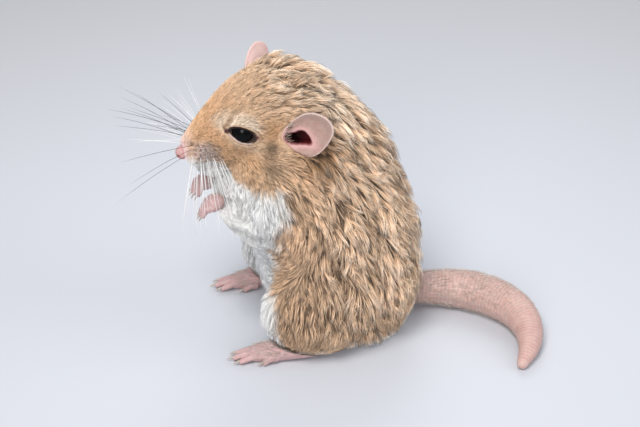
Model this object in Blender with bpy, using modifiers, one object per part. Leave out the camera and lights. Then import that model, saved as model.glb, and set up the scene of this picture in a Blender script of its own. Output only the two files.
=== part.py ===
"""A fat-tailed gerbil at life size, sitting up on its haunches with its forepaws held under its chin.

The animal faces -X, its left side is towards -Y and +Z is up. The solids show the outline of its coat.
The trunk, neck, head and thighs are fused as one skin, and then parted with thin cuts into the named nodes.
"""

import math
import random

import bmesh
import bpy
from mathutils import Euler, Matrix, Vector

MM = 0.001
GAP = 0.3 * MM
SIDES = {"left": -1, "right": 1}

# Trunk: level slices through the coat, as height, front, back and half width in mm
TRUNK_SLICES = (
    (-1.5, 0.0, 20.0, 14.0),
    (2.0, -6.0, 25.0, 18.5),
    (8.0, -10.0, 28.5, 22.0),
    (16.0, -12.5, 29.5, 23.5),
    (26.0, -15.0, 28.5, 23.5),
    (35.0, -18.0, 26.6, 22.5),
    (43.0, -19.0, 23.8, 20.5),
    (50.0, -18.0, 21.2, 18.0),
    (57.0, -15.0, 16.8, 15.0),
    (63.0, -11.0, 10.6, 11.5),
    (67.0, -6.0, 4.6, 7.0),
)
THIGH_AT, THIGH_RADII, THIGH_PITCH = (2.5, 16.5, 14.5), (17.5, 9.5, 13.5), -18.0
SHOULDER_AT, SHOULDER_RADII = (-8.0, 14.5, 39.0), (7.5, 6.5, 10.0)
BREAST_AT, BREAST_RADII = (-14.2, 0.0, 39.0), (8.4, 10.0, 8.5)

# Head: its own frame has x back, y to its right and z up, with the origin midway between the eyes
HEAD_AT = (-16.5, 0.0, 58.5)
HEAD_YAW, HEAD_PITCH, HEAD_ROLL = 5.0, -6.0, 4.0
# x, crown, widest height, underside and half width in mm
HEAD_SECTIONS = (
    (-14.4, -4.9, -6.7, -8.3, 2.0),
    (-13.2, -3.2, -6.5, -8.9, 3.3),
    (-11.4, -1.2, -6.0, -9.3, 4.5),
    (-8.8, 1.6, -5.3, -9.8, 5.8),
    (-5.2, 5.1, -4.2, -10.6, 7.2),
    (-1.0, 8.5, -3.0, -11.8, 8.7),
    (4.0, 10.8, -2.4, -12.6, 10.9),
    (9.0, 11.6, -2.0, -12.8, 12.6),
    (14.0, 11.0, -1.0, -12.0, 13.0),
    (19.0, 9.2, 0.0, -10.0, 12.2),
    (23.5, 5.5, 0.5, -6.0, 9.0),
)
JAW_AT, JAW_RADII = (-5.6, 0.0, -11.2), (6.4, 5.0, 3.8)
LIP_AT, LIP_RADII = (-10.2, 3.0, -6.7), (3.9, 2.7, 3.1)
MOUTH_BACK, MOUTH_HEIGHT, MOUTH_SLOPE = -3.6, -9.6, -6.0
NOSE_AT, NOSE_RADII = (-14.1, 0.0, -6.8), (1.7, 2.0, 1.6)
NOSTRIL_AT, NOSTRIL_RADII = (-15.3, 1.25, -7.1), (0.7, 0.4, 0.5)
EYE_AT, EYE_RADIUS = (0.1, 6.8, 0.0), 3.1
EYE_FORWARD, EYE_UP = 20.0, 12.0
LID_THICKNESS, LID_STRETCH = 0.75, 1.3
LID_OPENING = (7.4, 3.9)
LID_TILT = 14.0
BROW_RADIUS = EYE_RADIUS + 0.3 + LID_THICKNESS

# Ear: a blade that rolls into a cup, as share of length, distance from midline to rim and half roll in degrees
EAR_LENGTH, EAR_THICKNESS = 12.5, 0.6
EAR_SECTIONS = (
    (0.0, 3.0, 150.0),
    (0.16, 4.8, 118.0),
    (0.36, 6.0, 80.0),
    (0.56, 6.0, 60.0),
    (0.74, 5.2, 48.0),
    (0.88, 3.8, 38.0),
    (0.97, 1.9, 30.0),
    (1.0, 0.9, 25.0),
)
EAR_AT = {"left": (9.7, 11.9, -2.6), "right": (7.4, 11.3, -0.7)}
CANAL_DEPTH, CANAL_RADII = 1.2, (2.4, 2.0, 2.4)
EAR_AIM = {"left": (0.80, 0.42, 0.42), "right": (0.56, 0.70, 0.44)}
EAR_OPENS = {"left": (-0.25, 0.85, 0.45), "right": (-0.75, 0.45, -0.30)}

# Limbs: paths in the part's frame as x, distance from the midline, z and radius in mm
FOREARM = {
    "left": ((-9.0, 14.5, 33.5, 4.4), (-13.5, 13.0, 33.2, 3.8), (-18.8, 10.2, 36.4, 2.7), (-22.8, 8.1, 39.3, 1.0)),
    "right": ((-9.0, 14.5, 32.5, 4.4), (-13.5, 12.6, 31.6, 3.8), (-19.0, 9.4, 34.2, 2.6), (-23.0, 7.0, 37.3, 1.0)),
}
PAW_AT = {"left": (-23.4, 7.8, 39.7), "right": (-23.6, 6.8, 37.8)}
PAW_RADII = (2.8, 2.6, 2.1)
PAW_AIM = (-0.90, -0.14, -0.40)
FINGER_LENGTH, FINGER_RADIUS = 2.5, 0.92
FOOT = ((4.0, 17.5, 3.4, 3.6), (-3.5, 17.8, 3.0, 3.5), (-10.0, 17.4, 2.3, 3.2), (-14.8, 17.0, 1.7, 2.6))
TOE_LENGTH, TOE_RADIUS = 5.8, 0.95
CLAW_LENGTH, CLAW_RADIUS = 1.3, 0.42

# Tail: laid on the floor, thickest near its middle
TAIL = (
    (22.0, 0.0, 6.2, 3.6),
    (31.0, 0.4, 5.0, 4.2),
    (39.0, -1.2, 4.7, 4.9),
    (46.0, -5.6, 4.6, 5.1),
    (51.0, -12.4, 4.3, 4.7),
    (52.6, -20.0, 3.6, 3.9),
    (51.2, -27.0, 2.6, 2.8),
    (48.0, -32.5, 1.5, 1.5),
)
TAIL_LENGTHS = {"tail_base": (0.0, 0.40), "tail_middle": (0.40, 0.70), "tail_tip": (0.70, 1.0)}

# Whiskers: stout enough for a solid, on each lip
WHISKER_ROWS, WHISKERS_IN_ROW = 3, 3
WHISKER_RADIUS, WHISKER_LENGTHS = 0.28, (15.0, 27.0)

VOXEL = 0.6 * MM

COLOURS = {
    "coat": ((0.52, 0.36, 0.21), 0.75),
    "skin": ((0.72, 0.47, 0.43), 0.55),
    "eye": ((0.008, 0.008, 0.010), 0.08),
}


def material(slot):
    """The one material of a slot, made the first time that it is asked for."""
    found = bpy.data.materials.get(slot)
    if found:
        return found
    made = bpy.data.materials.new(slot)
    made.use_nodes = True
    colour, roughness = COLOURS[slot]
    shader = made.node_tree.nodes["Principled BSDF"]
    shader.inputs["Base Color"].default_value = (*colour, 1.0)
    shader.inputs["Roughness"].default_value = roughness
    shader.inputs["Metallic"].default_value = 0.0
    return made


def collection(name):
    made = bpy.data.collections.new(name)
    bpy.context.scene.collection.children.link(made)
    return made


def from_bmesh(bm, name):
    """A helper object that holds this bmesh, with its faces turned out."""
    bmesh.ops.recalc_face_normals(bm, faces=bm.faces)
    mesh = bpy.data.meshes.new(name)
    bm.to_mesh(mesh)
    bm.free()
    made = bpy.data.objects.new(name, mesh)
    HELPERS.objects.link(made)
    return made


def ellipsoid(centre, radii, turn=Matrix.Identity(4), grow=0.0, name="ellipsoid", around=32):
    """An ellipsoid with these radii in mm, made larger all round by grow, in metres."""
    bm = bmesh.new()
    size = [r * MM + grow for r in radii]
    place = Matrix.Translation(Vector(centre) * MM) @ turn @ Matrix.Diagonal((*size, 1.0))
    bmesh.ops.create_uvsphere(bm, u_segments=around, v_segments=around // 2, radius=1.0, matrix=place)
    return from_bmesh(bm, name)


def box(low, high, place=Matrix.Identity(4)):
    """A box between two corners in mm, in a frame of its own."""
    low, high = Vector(low) * MM, Vector(high) * MM
    bm = bmesh.new()
    size = high - low
    matrix = place @ Matrix.Translation((low + high) / 2) @ Matrix.Diagonal((*size, 1.0))
    bmesh.ops.create_cube(bm, size=1.0, matrix=matrix)
    return from_bmesh(bm, "box")


def loft(rings, name):
    """A closed body through rings that hold the same number of points in metres."""
    bm = bmesh.new()
    loops = [[bm.verts.new(point) for point in ring] for ring in rings]
    for low, high in zip(loops, loops[1:]):
        for i in range(len(low)):
            j = (i + 1) % len(low)
            bm.faces.new((low[i], low[j], high[j], high[i]))
    bm.faces.new(loops[0])
    bm.faces.new(loops[-1])
    return from_bmesh(bm, name)


def smooth_stations(stations, steps):
    """Rows of numbers read from a smooth curve through the given rows."""
    rows = [Vector(row) for row in stations]
    rows = [2 * rows[0] - rows[1], *rows, 2 * rows[-1] - rows[-2]]
    found = []
    for before, start, end, after in zip(rows, rows[1:], rows[2:], rows[3:]):
        for step in range(steps):
            t = step / steps
            ease = (end - before) * 0.5, (after - start) * 0.5
            found.append(
                start * (2 * t**3 - 3 * t**2 + 1)
                + end * (3 * t**2 - 2 * t**3)
                + ease[0] * (t**3 - 2 * t**2 + t)
                + ease[1] * (t**3 - t**2)
            )
    found.append(rows[-2])
    return found


def tube(path, name, around=12, steps=4, flat=1.0, round_root=True):
    """A round-ended limb along points of x, y, z and radius in mm; flat below 1 makes it lower than wide."""
    rows = smooth_stations(path, steps)
    centres = [row.to_3d() * MM for row in rows]
    radii = [row[3] * MM for row in rows]
    rings = []
    for i, centre in enumerate(centres):
        along = (centres[min(i + 1, len(rows) - 1)] - centres[max(i - 1, 0)]).normalized()
        side = along.cross(Vector((0, 0, 1))).normalized()
        over = side.cross(along)
        ends = [(0.0, 1.0)]
        if i == 0 and round_root:
            ends = [(-0.85, 0.5), (-0.5, 0.87), (0.0, 1.0)]
        elif i == len(rows) - 1:
            ends = [(0.0, 1.0), (0.5, 0.87), (0.85, 0.5)]
        for shift, share in ends:
            ring = []
            for k in range(around):
                turn = math.tau * k / around
                across = side * math.cos(turn) + over * math.sin(turn) * flat
                ring.append(centre + along * shift * radii[i] + across * radii[i] * share)
            rings.append(ring)
    return loft(rings, name)


def evaluated(obj, name):
    """The object as its modifiers leave it, as a new mesh object in place of the old one."""
    bpy.context.view_layer.update()
    graph = bpy.context.evaluated_depsgraph_get()
    mesh = bpy.data.meshes.new_from_object(obj.evaluated_get(graph))
    mesh.transform(obj.matrix_world)
    made = bpy.data.objects.new(name, mesh)
    HELPERS.objects.link(made)
    bpy.data.objects.remove(obj)
    made.name = name
    return made


def copy_of(obj, grow=0.0):
    """A copy, with every point moved out along its normal by grow."""
    made = bpy.data.objects.new(obj.name + "_copy", obj.data.copy())
    HELPERS.objects.link(made)
    if grow:
        normals = [v.normal.copy() for v in made.data.vertices]
        for vertex, normal in zip(made.data.vertices, normals):
            vertex.co += normal * grow
    return made


def boolean(obj, other, operation):
    """obj joined with, cut by or kept within other, which is used up."""
    name = obj.name
    modifier = obj.modifiers.new("cut", "BOOLEAN")
    modifier.operation = operation
    modifier.solver = "MANIFOLD"
    modifier.object = other
    made = evaluated(obj, name)
    bpy.data.objects.remove(other)
    return keep_largest(made)


def keep_largest(obj):
    """Only the largest closed surface of the mesh is kept, so that a node stays one body."""
    bm = bmesh.new()
    bm.from_mesh(obj.data)
    unseen, shells = set(bm.verts), []
    while unseen:
        seed = unseen.pop()
        shell, edge = {seed}, [seed]
        while edge:
            for link in edge.pop().link_edges:
                for vertex in link.verts:
                    if vertex in unseen:
                        unseen.discard(vertex)
                        shell.add(vertex)
                        edge.append(vertex)
        shells.append(shell)
    largest = max(shells, key=len)
    loose = [v for v in bm.verts if v not in largest]
    bmesh.ops.delete(bm, geom=loose, context="VERTS")
    bm.to_mesh(obj.data)
    bm.free()
    return obj


def triangulated(obj):
    bm = bmesh.new()
    bm.from_mesh(obj.data)
    bmesh.ops.triangulate(bm, faces=bm.faces)
    bm.to_mesh(obj.data)
    bm.free()


def joined(pieces, name):
    """One object that holds all the pieces' meshes, which may cross."""
    bm = bmesh.new()
    for piece in pieces:
        bm.from_mesh(piece.data)
        bpy.data.objects.remove(piece)
    return from_bmesh(bm, name)


def union(pieces, name):
    """The pieces joined by one Boolean union, with the first as its base."""
    base, *rest = pieces
    base.name = name
    if rest:
        group = collection(name + "_pieces")
        for piece in rest:
            HELPERS.objects.unlink(piece)
            group.objects.link(piece)
        modifier = base.modifiers.new("join", "BOOLEAN")
        modifier.operation = "UNION"
        modifier.solver = "MANIFOLD"
        modifier.operand_type = "COLLECTION"
        modifier.collection = group
        made = evaluated(base, name)
        for piece in rest:
            bpy.data.objects.remove(piece)
        bpy.data.collections.remove(group)
        base = made
    return keep_largest(base)


def fused(pieces, name, voxel, smoothing, triangles):
    """One closed skin round pieces that cross, with its joins smoothed."""
    obj = joined(pieces, name + "_raw")
    remesh = obj.modifiers.new("remesh", "REMESH")
    remesh.mode = "VOXEL"
    remesh.voxel_size = voxel
    smooth = obj.modifiers.new("smooth", "SMOOTH")
    smooth.factor, smooth.iterations = 0.5, smoothing
    obj = evaluated(obj, name)
    count = sum(len(face.vertices) - 2 for face in obj.data.polygons)
    decimate = obj.modifiers.new("decimate", "DECIMATE")
    decimate.ratio = min(1.0, triangles / count)
    return keep_largest(evaluated(obj, name))


def part_off(whole, cutter, name):
    """Parts off what lies within cutter, a function of how much it is grown. Returns the part and the rest."""
    part = copy_of(whole)
    part.name = name
    part = boolean(part, cutter(0.0), "INTERSECT")
    rest = boolean(whole, cutter(GAP), "DIFFERENCE")
    return part, rest


def clear_of(obj, *neighbours):
    """obj cut back to leave the gap to each neighbour."""
    for other in neighbours:
        obj = boolean(obj, copy_of(other, GAP), "DIFFERENCE")
    return obj


def head_frame():
    turn = Euler([math.radians(a) for a in (HEAD_ROLL, HEAD_PITCH, HEAD_YAW)], "XYZ").to_matrix().to_4x4()
    return Matrix.Translation(Vector(HEAD_AT) * MM) @ turn


def in_head(obj):
    """Moves a piece that was made in the head's own frame to its place."""
    obj.data.transform(head_frame())
    return obj


def mirrored(point, side):
    """A point of the right side, on the given side of the midline."""
    return (point[0], point[1] * SIDES[side], point[2])


def full_circle(around):
    """Points round the origin, a little fuller than a circle."""
    for k in range(around):
        c, s = math.cos(math.tau * k / around), math.sin(math.tau * k / around)
        full = (abs(c) ** 2.3 + abs(s) ** 2.3) ** (-1 / 2.3)
        yield c * full, s * full


def oval(x, crown, waist, under, half_width, around=32):
    """A head section: wide at its waist, with its own height above and below it."""
    ring = []
    for across, rise in full_circle(around):
        reach = crown - waist if rise > 0 else waist - under
        ring.append(Vector((x, half_width * across, waist + reach * rise)) * MM)
    return ring


def slice_ring(height, front, back, half_width, around=32):
    """A level slice of the trunk."""
    ring = []
    for along, across in full_circle(around):
        x = (front + back) / 2 + (back - front) / 2 * along
        ring.append(Vector((x, half_width * across, height)) * MM)
    return ring


def trunk_pieces():
    rings = [slice_ring(*row) for row in smooth_stations(TRUNK_SLICES, 3)]
    pieces = [loft(rings, "trunk"), ellipsoid(BREAST_AT, BREAST_RADII)]
    for side in SIDES:
        tilt = Matrix.Rotation(math.radians(THIGH_PITCH), 4, "Y")
        pieces.append(ellipsoid(mirrored(THIGH_AT, side), THIGH_RADII, tilt))
        pieces.append(ellipsoid(mirrored(SHOULDER_AT, side), SHOULDER_RADII))
    return pieces


def eye_turn(side):
    """The turn that takes +X to the way the eye looks, in the head's frame."""
    yaw = SIDES[side] * (90.0 + EYE_FORWARD)
    return Euler((0.0, math.radians(-EYE_UP), math.radians(yaw)), "XYZ").to_matrix().to_4x4()


def head_pieces():
    rings = [oval(*row) for row in smooth_stations(HEAD_SECTIONS, 3)]
    pieces = [loft(rings, "skull"), ellipsoid(JAW_AT, JAW_RADII)]
    for side in SIDES:
        pieces.append(ellipsoid(mirrored(LIP_AT, side), LIP_RADII))
        brow = (BROW_RADIUS, BROW_RADIUS * LID_STRETCH, BROW_RADIUS)
        pieces.append(ellipsoid(mirrored(EYE_AT, side), brow, eye_turn(side)))
    return [in_head(piece) for piece in pieces]


def lid_opening(side):
    """An almond prism that opens the lids along the eye's line of sight."""
    half_wide, half_high = LID_OPENING[0] / 2, LID_OPENING[1] / 2
    radius = (half_wide**2 + half_high**2) / (2 * half_high)
    sweep = math.asin(half_wide / radius)
    steps = 8
    edge = []
    for sign in (1, -1):
        for k in range(steps):
            turn = -sweep + 2 * sweep * k / steps
            edge.append((sign * radius * math.sin(turn), sign * (radius * math.cos(turn) - radius + half_high)))
    rings = [[Vector((depth, y, z)) * MM for y, z in edge] for depth in (0.0, 3 * EYE_RADIUS)]
    made = loft(rings, "lid_opening")
    tilt = Matrix.Rotation(math.radians(LID_TILT * SIDES[side]), 4, "X")
    made.data.transform(Matrix.Translation(Vector(mirrored(EYE_AT, side)) * MM) @ eye_turn(side) @ tilt)
    return in_head(made)


def make_eye(side, head):
    """Opens the socket and the lids in the head, and returns the eyeball with the head."""
    at = mirrored(EYE_AT, side)
    socket_radius = [EYE_RADIUS + GAP / MM] * 3
    socket = union([in_head(ellipsoid(at, socket_radius, around=16)), lid_opening(side)], "socket")
    head = boolean(head, socket, "DIFFERENCE")
    ball = in_head(ellipsoid(at, [EYE_RADIUS] * 3, around=16, name=side + "_eye"))
    return ball, head


def make_nose(head):
    """The bare nose pad with its two nostrils, set in the tip of the muzzle."""
    pad = in_head(ellipsoid(NOSE_AT, NOSE_RADII, around=16, name="nose"))
    head = clear_of(head, pad)
    for side in SIDES:
        pad = boolean(pad, in_head(ellipsoid(mirrored(NOSTRIL_AT, side), NOSTRIL_RADII, around=10)), "DIFFERENCE")
    return pad, head


def mouth_cutter(grow):
    """All that lies under the line of the mouth and in front of its corners."""
    tilt = Matrix.Translation(Vector((MOUTH_BACK, 0, MOUTH_HEIGHT)) * MM)
    tilt = tilt @ Matrix.Rotation(math.radians(MOUTH_SLOPE), 4, "Y")
    edge = grow / MM
    return in_head(box((-20.0, -12.0, -12.0), (edge, 12.0, edge), tilt))


def lip_cutter(side):
    """The swelling of the upper lip that carries the whiskers."""

    def cutter(grow):
        radii = [r + 0.5 for r in LIP_RADII]
        return in_head(ellipsoid(mirrored(LIP_AT, side), radii, grow=grow, around=16))

    return cutter


def spike(root, aim, length, radius, droop, around, name):
    """A whisker or claw that tapers to its tip and bends down by a share of its length."""
    side = aim.cross(Vector((0, 0, 1))).normalized()
    over = side.cross(aim)
    rings = []
    for share, thickness in ((0.0, 1.0), (0.35, 0.85), (0.7, 0.6), (1.0, 0.25)):
        centre = root + aim * length * share + Vector((0, 0, -droop * length * share**2))
        ring = []
        for k in range(around):
            turn = math.tau * k / around
            out = side * math.cos(turn) + over * math.sin(turn)
            ring.append((centre + out * radius * thickness) * MM)
        rings.append(ring)
    return loft(rings, name)


def whiskers(side, rng):
    """Rows of whiskers that fan forward, out and back from one lip."""
    made = []
    for row in range(WHISKER_ROWS):
        for place in range(WHISKERS_IN_ROW):
            back = place / (WHISKERS_IN_ROW - 1)
            down = row / (WHISKER_ROWS - 1)
            root = Vector(mirrored(LIP_AT, side))
            root += Vector((-1.6 + 2.8 * back, SIDES[side] * 1.2, 1.2 - 2.1 * down))
            aim = Vector((-0.75 + 0.75 * back, SIDES[side] * (0.85 + 0.1 * back), 0.42 - 0.85 * down))
            aim += Vector([rng.uniform(-0.06, 0.06) for _ in range(3)])
            length = WHISKER_LENGTHS[0] + (WHISKER_LENGTHS[1] - WHISKER_LENGTHS[0]) * (0.25 + 0.75 * back)
            length *= rng.uniform(0.85, 1.0)
            made.append(in_head(spike(root, aim.normalized(), length, WHISKER_RADIUS, 0.12, 3, "whisker")))
    return made


def ear_axes(side):
    """The way the ear reaches and the way it opens, in the head's frame."""
    along = Vector(mirrored(EAR_AIM[side], side)).normalized()
    opens = Vector(mirrored(EAR_OPENS[side], side))
    return along, (opens - along * opens.dot(along)).normalized()


def ear_canal(side):
    """The hollow at the root of the ear."""
    along, opens = ear_axes(side)
    centre = Vector(mirrored(EAR_AT[side], side)) + along * CANAL_DEPTH + opens * CANAL_DEPTH
    turn = along.to_track_quat("X", "Z").to_matrix().to_4x4()
    return in_head(ellipsoid(centre, CANAL_RADII, turn, around=14))


def ear_blade(side):
    """The ear as one rolled sheet with a wall, in the head's frame."""
    along, opens = ear_axes(side)
    across = opens.cross(along)
    base = Vector(mirrored(EAR_AT[side], side)) * MM
    columns = 8
    bm = bmesh.new()
    grid = []
    for share, reach, roll in smooth_stations(EAR_SECTIONS, 2):
        half = math.radians(roll)
        radius = reach * MM / half
        row = []
        for k in range(columns + 1):
            turn = half * (2 * k / columns - 1)
            curl = across * radius * math.sin(turn) + opens * radius * (1 - math.cos(turn))
            lean = opens * EAR_LENGTH * MM * 0.10 * share**2
            row.append(bm.verts.new(base + along * EAR_LENGTH * MM * share + curl + lean))
        grid.append(row)
    for low, high in zip(grid, grid[1:]):
        for k in range(columns):
            bm.faces.new((low[k], low[k + 1], high[k + 1], high[k]))
    obj = from_bmesh(bm, side + "_ear")
    wall = obj.modifiers.new("wall", "SOLIDIFY")
    wall.thickness, wall.offset = EAR_THICKNESS * MM, 0.0
    triangulate = obj.modifiers.new("triangles", "TRIANGULATE")
    triangulate.quad_method = "SHORTEST_DIAGONAL"
    return in_head(evaluated(obj, side + "_ear"))


def paw_axes(side):
    """Where the forepaw is, the way it reaches and the way across it."""
    aim = Vector(mirrored(PAW_AIM, side)).normalized()
    return Vector(mirrored(PAW_AT[side], side)), aim, Vector((0, 0, 1)).cross(aim).normalized()


def palm(side, grow=0.0):
    at, aim, across = paw_axes(side)
    turn = Matrix((aim, across, aim.cross(across))).transposed().to_4x4()
    return ellipsoid(at, PAW_RADII, turn, grow, around=16)


def forepaw(side):
    """A palm with four fingers and a stub of a thumb."""
    s = SIDES[side]
    at, aim, across = paw_axes(side)
    pieces = [palm(side)]
    for k, (spread, share) in enumerate(((-0.95, 0.82), (-0.33, 1.0), (0.33, 0.98), (0.95, 0.80))):
        start = at + across * spread * PAW_RADII[1] * 0.72 + aim * 0.9
        heading = (aim + across * spread * 0.22).normalized()
        length = FINGER_LENGTH * share
        knuckle = start + heading * length * 0.55 + Vector((0, 0, 0.25))
        tip = start + heading * length + Vector((0, 0, -1.2))
        radius = FINGER_RADIUS
        path = [(*start, radius * 1.05), (*knuckle, radius), (*tip, radius * 0.85)]
        pieces.append(tube(path, "finger", around=6, steps=1, round_root=False))
        point = (heading + Vector((0, 0, -0.5))).normalized()
        pieces.append(spike(tip, point, CLAW_LENGTH + 0.3, CLAW_RADIUS, 0.2, 5, "claw"))
    thumb = at - across * s * PAW_RADII[1] * 0.8 + Vector((0, 0, -0.4))
    pieces.append(tube([(*thumb, 0.6), (*(thumb + aim * 1.3 + Vector((0, 0, -0.3))), 0.5)], "thumb", 8, 1))
    return union(pieces, side + "_forepaw")


def hind_foot(side):
    """The long sole with five toes and their claws, flat to the floor."""
    path = [(*mirrored(row[:3], side), row[3]) for row in FOOT]
    pieces = [tube(path, "sole", around=10, steps=1, flat=0.8)]
    end = Vector(mirrored(FOOT[-1][:3], side))
    for spread, back, share in ((-1.0, 4.6, 0.62), (-0.5, 0.8, 0.92), (0.0, 0.0, 1.0), (0.5, 0.6, 0.94), (1.0, 3.6, 0.70)):
        start = end + Vector((back, spread * 2.5, -0.4))
        heading = Vector((-1.0, spread * 0.28, 0.0)).normalized()
        length = TOE_LENGTH * share
        knuckle = start + heading * length * 0.5 + Vector((0, 0, 0.35))
        tip = start + heading * length + Vector((0, 0, -0.45))
        path = [(*start, TOE_RADIUS * 1.15), (*knuckle, TOE_RADIUS), (*tip, TOE_RADIUS * 0.8)]
        pieces.append(tube(path, "toe", around=6, steps=1, round_root=False))
        pieces.append(spike(tip + Vector((0, 0, 0.2)), heading, CLAW_LENGTH + 0.8, CLAW_RADIUS, 0.2, 5, "claw"))
    return union(pieces, side + "_hind_foot")


def forearm(side):
    path = [(*mirrored(row[:3], side), row[3]) for row in FOREARM[side]]
    return tube(path, side + "_forearm", around=12, steps=2)


def tail_length(name, start, end):
    """One length of the tail between two shares of its path, short of its neighbour by the gap."""
    rows = smooth_stations(TAIL, 3)
    last = len(rows) - 1
    rows = rows[round(start * last) : round(end * last) + 1]
    obj = tube(rows, name, around=12, steps=1)
    return obj


def thigh_cutter(side):
    def cutter(grow):
        tilt = Matrix.Rotation(math.radians(THIGH_PITCH), 4, "Y")
        radii = [r + 1.4 for r in THIGH_RADII]
        return ellipsoid(mirrored(THIGH_AT, side), radii, tilt, grow, around=16)

    return cutter


def upper_arm_cutter(side):
    def cutter(grow):
        radii = [r + 1.2 for r in SHOULDER_RADII]
        return ellipsoid(mirrored(SHOULDER_AT, side), radii, grow=grow, around=16)

    return cutter


def plane_cutter(point, aim, reach):
    """All that lies beyond a plane through a point in mm, on the side that aim shows."""

    def cutter(grow):
        turn = Vector(aim).to_track_quat("X", "Z").to_matrix().to_4x4()
        place = Matrix.Translation(Vector(point) * MM) @ turn
        return box((-grow / MM, -reach, -reach), (2 * reach, reach, reach), place)

    return cutter


NECK_FRONT = ((0.0, 0.0, 57.0), (-0.81, 0.0, 0.59))
NECK_BASE = ((-18.0, 0.0, 45.5), (-0.2, 0.0, 0.98))
WAIST = ((0.0, 0.0, 29.0), (-0.25, 0.0, 0.97))


def body_nodes():
    """The fused skin, parted into head, neck, chest, rump, thighs and upper arms."""
    body = fused(trunk_pieces() + head_pieces(), "body", VOXEL, 5, 4350)
    nodes = {}
    neck, body = part_off(body, plane_cutter(*NECK_BASE, 60.0), "neck")
    nodes["head"], nodes["neck"] = part_off(neck, plane_cutter(*NECK_FRONT, 60.0), "head")
    for side in SIDES:
        name = side + "_thigh"
        nodes[name], body = part_off(body, thigh_cutter(side), name)
    for side in SIDES:
        name = side + "_upper_arm"
        nodes[name], body = part_off(body, upper_arm_cutter(side), name)
    nodes["chest"], nodes["rump"] = part_off(body, plane_cutter(*WAIST, 60.0), "chest")
    nodes["rump"].name = "rump"
    return nodes


def head_nodes(nodes):
    """Eyes, nose, lower jaw and whiskered lips, taken from the head."""
    head = nodes.pop("head")
    for side in SIDES:
        nodes[side + "_eye"], head = make_eye(side, head)
    nodes["nose"], head = make_nose(head)
    nodes["lower_jaw"], head = part_off(head, mouth_cutter, "lower_jaw")
    rng = random.Random(7)
    for side in SIDES:
        name = side + "_whisker_pad"
        lip, head = part_off(head, lip_cutter(side), name)
        nodes[name] = union([lip, *whiskers(side, rng)], name)
    head.name = "head"
    nodes["head"] = head
    for side in SIDES:
        nodes["head"] = boolean(nodes["head"], ear_canal(side), "DIFFERENCE")
        nodes[side + "_ear"] = clear_of(ear_blade(side), nodes["head"], nodes["neck"])


def limb_nodes(nodes):
    for side in SIDES:
        arm = clear_of(forearm(side), nodes["chest"], nodes[side + "_upper_arm"])
        nodes[side + "_forearm"] = boolean(arm, palm(side, GAP), "DIFFERENCE")
        nodes[side + "_forepaw"] = forepaw(side)
        foot = clear_of(hind_foot(side), nodes[side + "_thigh"], nodes["rump"])
        nodes[side + "_hind_foot"] = foot


def tail_nodes(nodes):
    for name, (start, end) in TAIL_LENGTHS.items():
        nodes[name] = tail_length(name, start, end)
    nodes["tail_base"] = clear_of(nodes["tail_base"], nodes["rump"])
    nodes["tail_middle"] = clear_of(nodes["tail_middle"], nodes["tail_base"])
    nodes["tail_tip"] = clear_of(nodes["tail_tip"], nodes["tail_middle"])


def level_on_floor(nodes):
    """What reaches under the floor is cut off level with it, which leaves small flats to rest on."""
    for name, obj in nodes.items():
        if min(v.co.z for v in obj.data.vertices) < 0:
            floor = box((-120.0, -120.0, -60.0), (120.0, 120.0, 0.0))
            nodes[name] = boolean(obj, floor, "DIFFERENCE")


def centre_on_origin(nodes):
    """The origin is put under the middle of the whole animal, at floor level."""
    points = [v.co for obj in nodes.values() for v in obj.data.vertices]
    shift = Vector([-(min(p[i] for p in points) + max(p[i] for p in points)) / 2 for i in range(2)] + [0.0])
    for obj in nodes.values():
        obj.data.transform(Matrix.Translation(shift))
    print("origin shift mm:", [round(v / MM, 2) for v in shift])


def slot_of(name):
    if name.endswith("_eye"):
        return "eye"
    bare = ("ear", "forepaw", "hind_foot", "nose", "tail_base", "tail_middle", "tail_tip")
    return "skin" if name.endswith(bare) else "coat"


def main():
    nodes = body_nodes()
    head_nodes(nodes)
    limb_nodes(nodes)
    tail_nodes(nodes)
    level_on_floor(nodes)
    for obj in nodes.values():
        triangulated(obj)
    centre_on_origin(nodes)
    gerbil = collection("gerbil")
    for name, obj in nodes.items():
        HELPERS.objects.unlink(obj)
        gerbil.objects.link(obj)
        obj.name = name
        obj.data.materials.clear()
        obj.data.materials.append(material(slot_of(name)))
        obj.data.shade_smooth()
        print(name, len(obj.data.vertices), "points", sum(len(f.vertices) - 2 for f in obj.data.polygons), "triangles")


for old in list(bpy.data.objects):
    bpy.data.objects.remove(old)
HELPERS = collection("helpers")
main()
for leftover in list(HELPERS.objects):
    bpy.data.objects.remove(leftover)
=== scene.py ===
"""Skin, coat, eyes and bare parts of a life-size fat-tailed gerbil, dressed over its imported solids.

Lengths below are in millimetres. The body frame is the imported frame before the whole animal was
centred on the origin. The head frame has x back, y to the right and z up, between the eyes.
"""

import math

import bmesh
import bpy
import numpy as np
from bpy.props import FloatProperty, FloatVectorProperty, IntProperty, PointerProperty
from bpy.types import Operator, Panel, PropertyGroup
from mathutils import Euler, Matrix, Vector
from mathutils.bvhtree import BVHTree
from mathutils.kdtree import KDTree

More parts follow.
